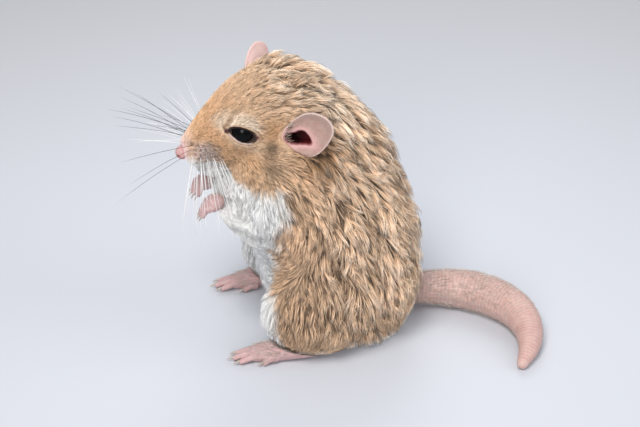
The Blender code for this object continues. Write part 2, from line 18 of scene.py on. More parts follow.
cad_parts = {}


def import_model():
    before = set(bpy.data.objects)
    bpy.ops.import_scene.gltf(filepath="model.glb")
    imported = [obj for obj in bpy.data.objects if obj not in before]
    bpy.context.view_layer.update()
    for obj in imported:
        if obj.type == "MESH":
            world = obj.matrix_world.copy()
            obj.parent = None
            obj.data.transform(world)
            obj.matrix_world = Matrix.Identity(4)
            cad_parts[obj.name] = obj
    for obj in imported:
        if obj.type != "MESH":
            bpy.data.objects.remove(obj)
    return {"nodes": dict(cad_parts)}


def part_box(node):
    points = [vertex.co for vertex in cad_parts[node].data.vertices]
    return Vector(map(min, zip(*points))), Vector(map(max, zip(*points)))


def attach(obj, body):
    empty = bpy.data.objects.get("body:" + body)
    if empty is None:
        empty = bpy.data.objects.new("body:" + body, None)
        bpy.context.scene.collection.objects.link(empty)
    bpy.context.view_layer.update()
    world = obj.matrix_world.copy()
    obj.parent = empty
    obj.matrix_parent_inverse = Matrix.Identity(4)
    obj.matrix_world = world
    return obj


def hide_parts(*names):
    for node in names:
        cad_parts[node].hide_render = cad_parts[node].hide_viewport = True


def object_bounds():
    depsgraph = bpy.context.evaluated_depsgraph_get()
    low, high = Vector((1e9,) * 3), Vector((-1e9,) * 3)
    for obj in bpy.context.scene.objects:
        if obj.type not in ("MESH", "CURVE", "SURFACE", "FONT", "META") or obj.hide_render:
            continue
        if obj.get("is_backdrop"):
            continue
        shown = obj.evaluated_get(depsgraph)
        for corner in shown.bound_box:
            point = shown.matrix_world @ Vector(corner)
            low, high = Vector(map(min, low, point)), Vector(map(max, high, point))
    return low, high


bl_info = {
    "name": "Fat-Tailed Gerbil",
    "version": (1, 0, 0),
    "blender": (4, 5, 0),
    "location": "3D View > Sidebar > Gerbil",
    "description": "Dresses the solids of a life-size sitting gerbil with skin, coat and eyes",
    "category": "Object",
}

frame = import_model()
CAD_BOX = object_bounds()
NODES = frame["nodes"]

MM = 0.001
SIDES = {"left": -1, "right": 1}
SKIN_NODES = (
    "head", "neck", "chest", "rump", "lower_jaw", "left_whisker_pad", "right_whisker_pad",
    "left_upper_arm", "right_upper_arm", "left_forearm", "right_forearm", "left_thigh", "right_thigh",
)
PIECE_LIMIT = 200_000
# How far hair stays off the floor, in metres
OFF_FLOOR = 0.0002
# Half the width and the whole height of each strand's patch on the bake map
PATCH_HALF, PATCH_HIGH = 0.0013, 0.003
# How close points are, in metres, before they are merged in new shapes and in copies of the solids
WELD, NODE_WELD = 1e-7, 1e-6
# How far the solids are grown, in metres, to close the thin cuts between them
GROWTH = 0.00022

HEAD_AT = Vector((-16.5, 0.0, 58.5))
HEAD_TURN = Euler([math.radians(a) for a in (4.0, -6.0, 5.0)], "XYZ").to_matrix()
EYE_AT = Vector((0.1, 6.8, 0.0))
EYE_FORWARD, EYE_UP, LID_TILT = 20.0, 12.0, 14.0
BALL_RADIUS, BALL_BULGE, LID_RADIUS = 3.45, 0.02, 3.66
# The lids lie on a ball this many times the size of the eye's
LID_CLEARANCE = 1.015
# How deep the skin goes in under the eye's front, and how far from it the skin is drawn
LID_TUCK, LID_REACH = 0.5, 1.5
# Steps from the line of the lids out to the skin, and the thickness of the lids and of their dark rim
LID_STEPS = (0.0, 0.10, 0.22, 0.36, 0.52, 0.70, 0.86, 1.0)
LID_WALL, LID_RIM = 0.16 * MM, 0.20 * MM
# The middles of the dark corners of the eye, as back and up
CORNER_FRONT, CORNER_REAR = (-4.0, -0.05), (3.5, -0.1)
# The line of the lids as the eye looks, from its front corner over the top, as back and up
LID_LINE = (
    (-3.4, 0.25), (-2.4, 1.0), (-1.1, 1.45), (0.1, 1.5), (1.2, 1.35), (2.3, 0.95), (3.2, 0.4), (3.45, -0.25),
    (3.05, -1.1), (2.3, -1.65), (1.2, -1.8), (-0.1, -1.55), (-1.3, -1.05), (-2.45, -0.45),
)
LIP_AT, LIP_REACH = Vector((-10.2, 3.0, -6.7)), 4.9
MOUTH_BACK, MOUTH_HEIGHT, MOUTH_SLOPE = -3.6, -9.6, 0.105
GROOVE_DEPTH = 0.32 * MM
NOSE_AT = Vector((-14.1, 0.0, -6.8))
EAR_AT = {"left": (9.7, 11.9, -2.6), "right": (7.4, 11.3, -0.7)}
EAR_AIM = {"left": (0.80, 0.42, 0.42), "right": (0.56, 0.70, 0.44)}
EAR_OPENS = {"left": (-0.25, 0.85, 0.45), "right": (-0.75, 0.45, -0.30)}
# The ear's rim seen along the way it opens, from its root outwards and from below to above
EAR_RIM = (
    (-0.8, 1.6), (0.6, 3.0), (2.7, 3.9), (5.3, 4.8), (8.7, 4.9), (11.2, 3.7), (12.8, 1.9),
    (13.3, -0.2), (12.3, -2.0), (10.1, -3.3), (7.5, -4.6), (4.3, -4.9), (2.0, -3.5), (0.2, -1.0),
)
EAR_WALL, EAR_CLEARANCE = 0.45 * MM, 0.65
FRINGE_HAIRS, EAR_DOWN_HAIRS, FRINGE_WIDTH = 115, 265, 0.06 * MM
PIT_AT = (3.2, 0.1)
PIT_RIM = (
    (-0.1, 0.8), (0.3, 1.7), (1.4, 1.9), (2.8, 1.7), (4.2, 1.7), (5.1, 1.3), (5.6, 0.3), (5.9, -1.0),
    (5.8, -2.2), (5.1, -2.3), (3.9, -1.7), (2.7, -1.3), (1.5, -0.9), (0.5, -0.1),
)
PAD_AT = (-9.8, 4.4, -5.6)
WHISKER_ROWS, WHISKERS_IN_ROW = 5, 6
FINE_WHISKER, WHITE_WHISKER = 0.14 * MM, 0.17 * MM
PAW_AT = {"left": (-23.4, 7.8, 39.7), "right": (-23.6, 6.8, 37.8)}
PAW_WIDTH, PAW_AIM, FINGER_LENGTH = 2.6, (-0.90, -0.14, -0.40), 2.5
FINGERS = ((-0.95, 0.82), (-0.33, 1.0), (0.33, 0.98), (0.95, 0.80))
FOOT_END, TOE_LENGTH = (-14.8, 17.0, 1.7), 5.8
TOES = ((-1.0, 4.6, 0.62), (-0.5, 0.8, 0.92), (0.0, 0.0, 1.0), (0.5, 0.6, 0.94), (1.0, 3.6, 0.70))
PAW_CLAW, FOOT_CLAW, CLAW_THICKNESS = 1.5, 1.9, 0.36 * MM
TAIL_VOXEL, RING_GAP = 0.36 * MM, 0.95
TAIL_PATH = (
    (22.0, 0.0, 6.2), (31.0, 0.4, 5.0), (39.0, -1.2, 4.7), (46.0, -5.6, 4.6),
    (51.0, -12.4, 4.3), (52.6, -20.0, 3.6), (51.2, -27.0, 2.6), (48.0, -32.5, 1.5),
)

# Floor and lights, in metres. Then the photograph's view: the camera's turn and tilt in degrees, the
# photograph's size in pixels, and a point in the body frame with the pixel where it is seen
FLOOR_RADIUS, LIGHTS_AIM = 6.0, Vector((0, 0, 0.04))
CAMERA_TURN, CAMERA_TILT = -10.0, 30.0
PHOTO_SIZE, PIXELS_PER_MM = (640, 427), 4.1
MIDDLE, MIDDLE_SEEN_AT = Vector((0, 0, 40)), (305, 178)

# Colours that change within a piece: eyes, lids, ears, down and whiskers
EYE_BLACK, PUPIL_BLACK = (0.0025, 0.0018, 0.0016), (0.0008, 0.0009, 0.0012)
UPPER_LID, LOWER_LID, EYE_CORNER = (0.46, 0.32, 0.22), (0.46, 0.35, 0.31), (0.075, 0.028, 0.026)
# The pit's colours darken to near black at its middle and front: painted shade in the ear's canal, over the
# dark red of its skin
PIT_FRONT, PIT_BACK = (0.010, 0.001, 0.001), (0.085, 0.007, 0.008)
PIT_EDGE, PIT_SLOPE = (0.24, 0.085, 0.085), (0.56, 0.34, 0.32)
# The second colour on the next line is painted shade under the upper rim of the ear
EAR_VEIN, EAR_PAINTED_SHADE = (0.33, 0.15, 0.13), (0.27, 0.205, 0.18)
# The second colour on the next line is painted light shining through the thin far ear
EAR_EDGE, EAR_PAINTED_BACKLIGHT = (0.66, 0.50, 0.46), (0.80, 0.55, 0.52)
FRINGE_PALE, FRINGE_DARK = (0.80, 0.68, 0.58), (0.030, 0.018, 0.015)
DOWN_DARK, DOWN_PALE = (0.42, 0.33, 0.27), (0.78, 0.72, 0.68)
WHISKER_WHITE, WHISKER_BLACK = (0.93, 0.92, 0.91), (0.02, 0.016, 0.016)

# The edge of the white on the lips and jaw, as back and up in the head frame, and the front of the
# sandy flank, as up and back in the body frame
JAW_BACK, JAW_UP = (-14, -10, -8, -5.3, -3, 0.2, 4.3, 7), (-6.3, -6.6, -7.3, -9.9, -12.0, -12.2, -10.9, -11.5)
FLANK_UP, FLANK_BACK = (3, 9, 20, 30, 37), (-2.0, -6.0, -7.2, -6.6, -5.2)
# Patches of colour on each side of the head: colour, strength, place and reach
PATCHES = (
    ("soot", 0.26, (5.0, 11.2, 0.6), 4.6),
    # painted shadow below the ear: this soot patch, with the rust patch at the same place
    ("soot", 0.85, (15.5, 16.0, -6.3), 5.0),
    ("rust", 0.55, (0.0, 9.0, -5.0), 9.0),
    ("rust", 0.85, (5.5, 11.0, 0.5), 5.0),
    # painted shadow below the ear, with the soot patch at the same place
    ("rust", 1.6, (15.5, 16.0, -6.3), 5.5),
    ("pale", 0.40, (20.0, 8.0, 4.0), 9.0),
    ("blush", 1.1, (-10.0, 4.8, -6.0), 5.2),
)
# Dark marks in front of the eye and below the ear, which add up: strength, place and reach
DARK_MARKS = (
    (0.75, (-4.3, 7.3, 1.6), 1.6),
    (0.75, (-3.6, 6.7, 3.2), 1.5),
    (0.60, (-2.4, 6.2, 4.7), 1.5),
    (0.80, (4.4, 12.2, -3.2), 3.2),
    (0.64, (3.9, 14.2, -6.8), 3.4),
)

# The lie of the coat: place, the way the hair lies, hair length and how deep the skin is under its tips.
# Each row of the right side counts for the left side too.
HEAD_LIE = (
    ((-13.0, 0.0, -2.6), (0.95, 0.0, 0.30), 1.0, 0.25),
    ((-12.0, 3.6, -5.0), (0.95, 0.15, -0.05), 1.1, 0.25),
    ((-8.5, 0.0, 1.2), (0.93, 0.0, 0.35), 1.6, 0.45),
    ((-8.0, 5.0, -3.5), (0.95, 0.15, -0.05), 1.6, 0.45),
    ((-11.0, 4.2, -7.8), (0.60, 0.30, -0.70), 1.7, 0.30),
    ((-7.0, 5.6, -8.0), (0.75, 0.20, -0.55), 2.2, 0.60),
    ((-8.5, 0.0, -13.2), (0.75, 0.0, -0.55), 2.0, 0.60),
    ((-4.0, 0.0, 5.2), (0.93, 0.0, 0.36), 2.1, 0.70),
    ((-4.5, 6.4, 1.0), (0.75, 0.10, 0.55), 1.5, 0.40),
    ((0.0, 8.2, 5.0), (0.90, 0.10, 0.30), 2.2, 0.70),
    ((-1.0, 9.0, -4.4), (0.90, 0.10, -0.35), 1.8, 0.60),
    ((5.0, 10.6, 0.5), (1.0, 0.10, -0.05), 2.5, 0.90),
    ((4.0, 0.0, 10.2), (0.97, 0.0, 0.20), 3.0, 1.0),
    ((11.0, 0.0, 11.4), (1.0, 0.0, 0.02), 5.0, 1.5),
    ((8.0, 7.0, 8.6), (0.95, 0.15, 0.05), 4.0, 1.3),
    ((4.0, 10.6, -6.0), (0.75, 0.10, -0.60), 3.0, 1.1),
    ((9.0, 11.6, -8.5), (0.60, 0.0, -0.80), 4.4, 1.6),
    ((6.5, 11.8, -2.0), (0.75, 0.30, 0.20), 2.0, 0.80),
    ((12.0, 10.5, 4.5), (0.95, 0.10, -0.15), 3.6, 1.2),
    ((17.0, 12.0, -3.0), (0.80, 0.10, -0.55), 5.0, 1.9),
    ((20.0, 0.0, 9.0), (0.90, 0.0, -0.40), 6.5, 2.2),
    ((2.0, 0.0, -13.4), (0.50, 0.0, -0.85), 4.0, 1.4),
    ((-3.0, 6.4, -10.0), (0.70, 0.10, -0.70), 2.4, 0.80),
)
BODY_LIE = (
    ((9.0, 0.0, 66.0), (0.65, 0.0, -0.75), 7.5, 2.8),
    ((10.0, 9.0, 59.0), (0.55, 0.10, -0.85), 8.0, 3.2),
    ((20.0, 4.0, 50.0), (0.40, 0.0, -0.90), 8.5, 3.6),
    ((25.0, 0.0, 38.0), (0.25, 0.0, -0.97), 9.0, 4.0),
    ((29.0, 0.0, 22.0), (0.12, 0.0, -1.0), 8.5, 3.8),
    ((27.0, 0.0, 7.0), (0.45, 0.0, -0.60), 6.0, 2.6),
    ((2.0, 15.0, 54.0), (0.55, 0.0, -0.80), 7.0, 2.8),
    ((-8.0, 19.0, 44.0), (0.30, 0.10, -0.95), 6.5, 2.6),
    ((8.0, 23.0, 38.0), (0.45, 0.0, -0.90), 8.5, 3.8),
    ((14.0, 22.0, 27.0), (0.40, 0.0, -0.90), 8.0, 3.6),
    ((20.0, 16.0, 40.0), (0.40, 0.0, -0.92), 8.5, 3.8),
    ((-18.5, 0.0, 42.0), (-0.05, 0.0, -1.0), 6.5, 2.8),
    ((-15.0, 12.0, 40.0), (0.05, 0.10, -1.0), 6.0, 2.4),
    ((-14.5, 0.0, 26.0), (0.0, 0.0, -1.0), 7.0, 3.2),
    ((-10.0, 0.0, 8.0), (0.30, 0.0, -0.95), 5.5, 2.4),
    ((-8.0, 20.0, 36.0), (-0.05, 0.05, -1.0), 5.0, 2.0),
    ((-9.0, 17.5, 29.5), (-0.65, -0.20, -0.35), 3.6, 1.1),
    ((-15.0, 13.0, 32.5), (-0.85, -0.30, 0.35), 2.6, 0.70),
    ((-20.5, 9.4, 38.0), (-0.65, -0.30, 0.70), 1.6, 0.35),
    ((4.0, 24.0, 27.0), (0.15, 0.20, -1.0), 7.0, 2.8),
    ((2.0, 26.0, 15.0), (0.05, 0.05, -1.0), 6.5, 2.6),
    ((-13.0, 20.0, 14.0), (-0.05, -0.10, -1.0), 5.0, 1.9),
    ((0.0, 24.0, 4.0), (-0.45, 0.0, -0.80), 4.0, 1.3),
    ((22.0, 20.0, 12.0), (0.35, 0.0, -0.95), 7.0, 3.0),
    ((28.0, 12.0, 24.0), (0.20, 0.0, -1.0), 8.0, 3.6),
)


def number(name, default, description, **limits):
    return FloatProperty(name=name, default=default, description=description, **limits)


def size(name, default, description):
    return number(name, default, description, unit="LENGTH", precision=5)


def power(name, default, description):
    return number(name, default, description, unit="POWER")


def colour(name, default, description):
    return FloatVectorProperty(name=name, subtype="COLOR", size=3, default=default, description=description)


class GerbilCoat(PropertyGroup):
    """Sizes and colours of the coat."""

    cover: number("Cover", 6.3, "How many hairs lie over each point of the skin", min=0.5, max=12.0)
    thinnest: size("Thinnest Hair", 0.00007, "Width of a tuft before its length counts")
    widening: number("Widening", 0.0125, "Width that a tuft gains for its length", min=0.0, max=0.05)
    lock: number("Lock", 0.66, "How far the tips of a lock draw together", min=0.0, max=1.0)
    seed: IntProperty(name="Seed", default=11, description="Start of the seeded random numbers")
    sand: colour("Sand", (0.80, 0.555, 0.365), "Main colour of the hair")
    # this colour also paints the shadow below each ear
    rust: colour("Rust", (0.76, 0.435, 0.215), "Warmer hair of the face")
    cream: colour("Cream", (0.955, 0.95, 0.94), "White hair below")
    pale: colour("Pale Tips", (0.97, 0.86, 0.73), "Light ends of sandy hairs")
    blush: colour("Blush", (0.95, 0.76, 0.70), "Thin hair round the nose")
    # this colour also paints the shadow below each ear
    soot: colour("Soot", (0.065, 0.045, 0.034), "Dark tips of the guard hairs")
    brown: colour("Brown", (0.13, 0.085, 0.06), "The few hairs that are dark all along")
    slate: colour("Slate", (0.18, 0.13, 0.10), "Hair near its root")


class GerbilSkin(PropertyGroup):
    """Sizes and colours of the skin and the bare parts."""

    voxel: size("Skin Voxel", 0.00042, "Grain of the skin's remesh")
    fine_voxel: size("Fine Voxel", 0.00017, "Grain of the paws' and nose's remesh")
    pink: colour("Pink", (0.60, 0.425, 0.42), "Bare skin of the paws")
    # the skin's own deeper red, which in folds, grooves and dents is also painted shade
    flush: colour("Flush", (0.36, 0.13, 0.12), "Deeper skin in folds")
    lip: colour("Lip", (0.78, 0.54, 0.53), "Bare skin of the lips")
    nose: colour("Nose", (0.66, 0.42, 0.41), "Skin of the nose")
    tail: colour("Tail", (0.58, 0.42, 0.37), "Skin of the tail")
    ear: colour("Ear", (0.39, 0.262, 0.225), "Thin skin of the ears")
    rim: colour("Rim", (0.022, 0.014, 0.012), "Dark rims of the lids")
    horn: colour("Horn", (0.50, 0.40, 0.33), "Claws")


class GerbilStage(PropertyGroup):
    """Floor, light and camera."""

    floor: colour("Floor", (0.535, 0.55, 0.595), "Colour of the floor")
    # the far floor colour is painted shade: the floor darkens towards it away from the middle
    floor_far_shade: colour("Far Floor", (0.335, 0.335, 0.34), "Floor further off")
    key: power("Key Light", 13.0, "Power of the large soft light")
    front: power("Front Light", 5.0, "Power of the low light by the camera")
    fill: power("Fill Light", 4.0, "Power of the light from the right and from behind")
    sky: number("Sky", 0.54, "Strength of the light all round", min=0.0, max=3.0)
    distance: size("Distance", 0.47, "From the camera to the animal")


# Places and markings


def centred():
    """How far part.py moved the animal to centre it, found from where an eye is."""
    low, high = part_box("left_eye")
    side = Vector((EYE_AT.x, -EYE_AT.y, EYE_AT.z))
    return (low + high) / 2 / MM - (HEAD_AT + HEAD_TURN @ side)


SHIFT = centred()
HEAD = Matrix.Translation(SHIFT + HEAD_AT) @ HEAD_TURN.to_4x4()
BODY = Matrix.Translation(SHIFT)
# The head frame's place in metres
HEAD_PLACE = Matrix.Scale(MM, 4) @ HEAD


def to_frame(matrix, points):
    """Points in metres as rows in a frame of this animal, in millimetres."""
    inverse = np.array(matrix.inverted(), np.float64)
    return points / MM @ inverse[:3, :3].T + inverse[:3, 3]


def across(point, side):
    """A point of the right side, on the given side."""
    return point[0], point[1] * SIDES[side], point[2]


def mirrored(point, side):
    return Vector(across(point, side))


def eye_frame(side):
    """x looks out of the eye, y runs along the lids and z across them, in the head's frame."""
    yaw = SIDES[side] * (90.0 + EYE_FORWARD)
    look = Euler((0.0, math.radians(-EYE_UP), math.radians(yaw)), "XYZ").to_matrix().to_4x4()
    tilt = Matrix.Rotation(math.radians(LID_TILT * SIDES[side]), 4, "X")
    return Matrix.Translation(mirrored(EYE_AT, side)) @ look @ tilt


def ear_axes(side):
    along = mirrored(EAR_AIM[side], side).normalized()
    opens = mirrored(EAR_OPENS[side], side)
    return along, (opens - along * opens.dot(along)).normalized()


def smoothstep(low, high, x):
    t = np.clip((x - low) / (high - low), 0.0, 1.0)
    return t * t * (3 - 2 * t)


def near(points, place, reach):
    """1 at a place, easing to 0 at a reach from it."""
    distance = np.linalg.norm(points - np.array(place), axis=1)
    return 1 - smoothstep(0.0, 1.0, distance / reach)


def outline_reach(outline, centre, turns):
    """How far a rounded outline is from its centre in each direction."""
    rim = np.array(outline) - centre
    fine = np.arange(180) / 180 * math.tau - math.pi
    reach = np.interp(fine, np.arctan2(rim[:, 1], rim[:, 0]), np.hypot(*rim.T), period=math.tau)
    for _ in range(12):
        reach = (np.roll(reach, 1) + np.roll(reach, -1) + reach) / 3
    return np.interp(turns, fine, reach, period=math.tau)


def eye_plane(head_points, side):
    """How far out of the eye, back along its lids and up across them each point is."""
    local = to_frame(eye_frame(side), head_points * MM)
    return local[:, 0], local[:, 1] * -SIDES[side], local[:, 2]


def lid_level(head_points, side):
    """0 in the middle of the eye's opening, 1 on the line of its lids, and more outside it."""
    out, back, rise = eye_plane(head_points, side)
    level = np.hypot(back, rise) / outline_reach(LID_LINE, (0.0, 0.0), np.arctan2(rise, back))
    return np.where(out > -1.0, level, 99.0)


def corner_shade(out, back, rise):
    """1 in the dark skin at the two corners of an eye, 0 away from them."""
    front = np.hypot((back - CORNER_FRONT[0]) * 0.9, (rise - CORNER_FRONT[1]) * 1.9)
    rear = np.hypot(back - CORNER_REAR[0], (rise - CORNER_REAR[1]) * 1.6)
    front, rear = smoothstep(1.45, 0.75, front), 0.9 * smoothstep(1.15, 0.45, rear)
    return np.maximum(front, rear) * (out > -1.0)


class Lie:
    """Reads the lie of the coat anywhere, from the rows above."""

    def __init__(self):
        places, ways, sizes = [], [], []
        turn = {True: HEAD_TURN, False: Matrix.Identity(3)}
        for rows, in_head in ((HEAD_LIE, True), (BODY_LIE, False)):
            for place, way, length, depth in rows:
                for sign in (1, -1):
                    at = Vector((place[0], place[1] * sign, place[2]))
                    aim = Vector((way[0], way[1] * sign, way[2]))
                    at = turn[in_head] @ at + (HEAD_AT if in_head else Vector())
                    places.append(at)
                    ways.append(turn[in_head] @ aim)
                    sizes.append((length, depth))
        self.places, self.ways, self.sizes = (np.array(rows) for rows in (places, ways, sizes))

    def read(self, body_points):
        """Direction, hair length and depth of coat at each point."""
        ways, sizes = [], []
        for block in np.array_split(body_points, max(1, len(body_points) // 20000)):
            gap = block[:, None, :] - self.places[None]
            weight = 1 / ((gap**2).sum(2) + 3.0) ** 2
            weight /= weight.sum(1, keepdims=True)
            ways.append(weight @ self.ways)
            sizes.append(weight @ self.sizes)
        sizes = np.concatenate(sizes)
        return np.concatenate(ways), sizes[:, 0], sizes[:, 1]


LIE = Lie()


def ear_frame(side):
    """x runs out along the ear, y up across it and z the way it opens, in the head's frame."""
    along, opens = ear_axes(side)
    over = opens.cross(along) * -SIDES[side]
    turn = Matrix((along, over, opens)).transposed().to_4x4()
    return Matrix.Translation(mirrored(EAR_AT[side], side)) @ turn


def ear_cup(u, v):
    """For places across the ear: share of the way from pit to rim, level of the pit, and the cup's height."""
    du, dv = u - PIT_AT[0], v - PIT_AT[1]
    turns = np.arctan2(dv, du)
    share, pit = (np.hypot(du, dv) / outline_reach(line, PIT_AT, turns) for line in (EAR_RIM, PIT_RIM))
    floor = 0.8 + 0.07 * du
    rise = 1.8 + 0.6 * smoothstep(5.0, 12.0, u) + 0.4 * smoothstep(0.0, 4.0, v)
    height = floor + (rise - floor) * np.clip(share, 0, 1.1) ** 3
    height -= 3.0 * (1 - smoothstep(0.55, 1.12, pit))
    puffy = smoothstep(7.0, 1.0, u) * smoothstep(1.5, -2.0, v)
    height -= (0.25 + 0.9 * puffy) * smoothstep(0.84, 1.0, share)
    return share, pit, height


def in_ear(side, h):
    """The ear's readings for points in the head's frame, and how far they stand above its cup."""
    local = to_frame(ear_frame(side), h * MM)
    share, pit, height = ear_cup(local[:, 0], local[:, 1])
    share = np.where(np.abs(local[:, 2]) < 6.0, share, 9.0)
    return share, pit, local[:, 2] - height


def whisker_roots(side):
    """Where the whiskers stand in the lip, with the share of the way back and down of each."""
    sign = SIDES[side]
    for row in range(WHISKER_ROWS):
        for column in range(WHISKERS_IN_ROW):
            back, down = column / (WHISKERS_IN_ROW - 1), row / (WHISKER_ROWS - 1)
            x = -12.2 + 5.2 * back + 0.35 * (row % 2)
            yield Vector((x, 3.4 * sign, -3.4 + 0.4 * back - 3.6 * down)), back, down


def markings(points):
    """How white, how rusty and how dark-tipped the coat is at each point, for skin and coat alike, and where
    the ear's shadow is painted below it.
    """
    b, h = to_frame(BODY, points), to_frame(HEAD, points)
    side = np.abs(b[:, 1])
    wobble = 0.7 * np.sin(0.8 * b[:, 2] + 0.5 * side) + 0.6 * np.sin(1.5 * b[:, 0] - 0.9 * side + 1.0)
    # white lips, throat, breast and belly, and the inner sides of the limbs
    below = smoothstep(0.9, -0.9, h[:, 2] - np.interp(h[:, 0], JAW_BACK, JAW_UP) + 0.25 * wobble)
    edge = np.interp(b[:, 2], FLANK_UP, FLANK_BACK)
    white = below * smoothstep(1.8, -1.8, b[:, 0] - edge + 0.4 * (side - 10) + wobble)
    white = np.maximum(white, 0.8 * smoothstep(5.0, 2.5, b[:, 2]) * smoothstep(28.0, 18.0, b[:, 0]))
    shades = dict.fromkeys(("pale", "rust", "soot", "blush"), np.zeros(len(b)))

    def deepen(shade, values):
        shades[shade] = np.maximum(shades[shade], values)

    for name, sign in SIDES.items():
        # a pale ring round the eye, with dark corners
        level = lid_level(h, name)
        around = smoothstep(1.0, 1.3, level) * smoothstep(3.3, 1.6, level) * smoothstep(4.4, 1.6, h[:, 0])
        deepen("pale", around * (0.25 + 0.45 * smoothstep(-0.6, 1.2, h[:, 2])))
        deepen("soot", 0.8 * corner_shade(*eye_plane(h, name)))
        for shade, strength, place, reach in PATCHES:
            deepen(shade, strength * near(h, across(place, name), reach))
        marks = [strength * near(h, across(place, name), reach) for strength, place, reach in DARK_MARKS]
        deepen("soot", np.clip(sum(marks), 0, 1))
        # painted shadow of the ear: dark rust below and behind it
        ear = mirrored(EAR_AT[name], name)
        deepen("rust", 1.2 * near(h, (ear.x + 4.5, ear.y * 1.2, ear.z - 4.5), 8.0))
        # a dark speck at the root of each whisker
        outer = smoothstep(1.5, 2.5, h[:, 1] * sign)
        for root, _, _ in whisker_roots(name):
            deepen("soot", 0.85 * near(h[:, (0, 2)], (root.x, root.z), 0.62) * outer)
    pale, rust, soot, blush = shades.values()
    muzzle = smoothstep(1.0, -7.0, h[:, 0]) * smoothstep(-9.0, -5.0, h[:, 2])
    rust = np.maximum(rust, 0.6 * muzzle) * (1 - 0.8 * np.clip(blush, 0, 1))
    # dark tips on the crown, nape and back, fading down the flanks
    crown = smoothstep(1.0, 10.0, h[:, 0]) * smoothstep(2.0, 8.0, h[:, 2])
    back = smoothstep(-9.0, 6.0, b[:, 0]) * smoothstep(2.0, 16.0, b[:, 2]) * smoothstep(5.0, 12.0, h[:, 0])
    dark = np.maximum(crown, back * (0.6 + 0.4 * smoothstep(22.0, 8.0, side)))
    blush = np.maximum(blush, near(h, NOSE_AT, 7.4))
    white = np.clip(white * (1 - 0.8 * soot), 0, 1)
    return {
        "white": white,
        "rust": np.clip(rust, 0, 1),
        "dark": np.clip(dark * (1 - white), 0, 1),
        "soot": np.clip(soot, 0, 1),
        "pale": pale * (1 - white) * (1 - np.clip(soot * 1.5, 0, 1)),
        "blush": np.clip(blush * 1.25, 0, 1) * (1 - white),
    }


# Working on meshes


def settings():
    scene = bpy.context.scene
    return scene.gerbil_coat, scene.gerbil_skin, scene.gerbil_stage


def new_object(name, mesh):
    obj = bpy.data.objects.new(name, mesh)
    bpy.context.scene.collection.objects.link(obj)
    return obj


def from_bmesh(name, bm):
    mesh = bpy.data.meshes.new(name)
    bm.to_mesh(mesh)
    bm.free()
    return new_object(name, mesh)


def settle(obj):
    """The object's mesh as its modifiers leave it."""
    bpy.context.view_layer.update()
    graph = bpy.context.evaluated_depsgraph_get()
    mesh = bpy.data.meshes.new_from_object(obj.evaluated_get(graph))
    old = obj.data
    obj.modifiers.clear()
    obj.data = mesh
    bpy.data.meshes.remove(old)
    mesh.name = obj.name
    return obj


def coordinates(mesh):
    co = np.empty(len(mesh.vertices) * 3, np.float32)
    mesh.vertices.foreach_get("co", co)
    return co.reshape(-1, 3).astype(np.float64)


def normals_of(mesh):
    found = np.empty(len(mesh.vertices) * 3, np.float32)
    mesh.vertex_normals.foreach_get("vector", found)
    return found.reshape(-1, 3).astype(np.float64)


def set_coordinates(mesh, co):
    mesh.vertices.foreach_set("co", co.astype(np.float32).ravel())
    mesh.update()


def relax(mesh, times, ease=0.5):
    """Evens the mesh out, a share of the way each time."""
    edges = np.empty(len(mesh.edges) * 2, np.int32)
    mesh.edges.foreach_get("vertices", edges)
    a, b = edges.reshape(-1, 2).T
    co = coordinates(mesh)
    count = np.bincount(a, minlength=len(co)) + np.bincount(b, minlength=len(co))
    for _ in range(times):
        sums = [np.bincount(a, co[b, k], len(co)) + np.bincount(b, co[a, k], len(co)) for k in range(3)]
        co = co + (np.stack(sums, axis=1) / count[:, None] - co) * ease
    set_coordinates(mesh, co)


def remesh(obj, voxel):
    modifier = obj.modifiers.new("remesh", "REMESH")
    modifier.mode = "VOXEL"
    modifier.voxel_size = voxel
    modifier.use_smooth_shade = True
    return settle(obj)


def node_copies(names, grow=0.0):
    """One bmesh that holds copies of these nodes, merged, and grown outwards to close the thin cuts."""
    whole = bmesh.new()
    for name in names:
        bm = bmesh.new()
        bm.from_mesh(NODES[name].data)
        bmesh.ops.remove_doubles(bm, verts=bm.verts, dist=NODE_WELD)
        if name.endswith("whisker_pad"):
            drop_whiskers(bm, name.split("_")[0])
        bm.normal_update()
        moved = [(v, v.normal.copy()) for v in bm.verts]
        for vertex, normal in moved:
            vertex.co += normal * grow
        mesh = bpy.data.meshes.new("copy")
        bm.to_mesh(mesh)
        bm.free()
        whole.from_mesh(mesh)
        bpy.data.meshes.remove(mesh)
    return whole


def drop_whiskers(bm, side):
    """Only the lip is left of a whisker pad."""
    centre = (HEAD @ mirrored(LIP_AT, side)) * MM
    far = [v for v in bm.verts if (v.co - centre).length > LIP_REACH * MM]
    bmesh.ops.delete(bm, geom=far, context="VERTS")
    bmesh.ops.holes_fill(bm, edges=[e for e in bm.edges if e.is_boundary], sides=12)


def set_attribute(mesh, name, values):
    attribute = mesh.attributes.new(name, "FLOAT", "POINT")
    attribute.data.foreach_set("value", values.astype(np.float32))


def record(bm, readings):
    """Keeps readings of a bmesh's vertices, which become attributes of its mesh."""
    for name, values in readings.items():
        key = bm.verts.layers.float.new(name)
        for vertex, value in zip(bm.verts, values):
            vertex[key] = value


def unwrap(obj):
    """Adds the bake map, an unwrap of the piece's own shape."""
    bpy.context.view_layer.objects.active = obj
    obj.select_set(True)
    bpy.ops.object.mode_set(mode="EDIT")
    bpy.ops.mesh.select_all(action="SELECT")
    bpy.ops.uv.smart_project(angle_limit=math.radians(66), island_margin=0.002)
    bpy.ops.object.mode_set(mode="OBJECT")
    obj.select_set(False)
    obj.data.uv_layers[0].name = "OFBake"


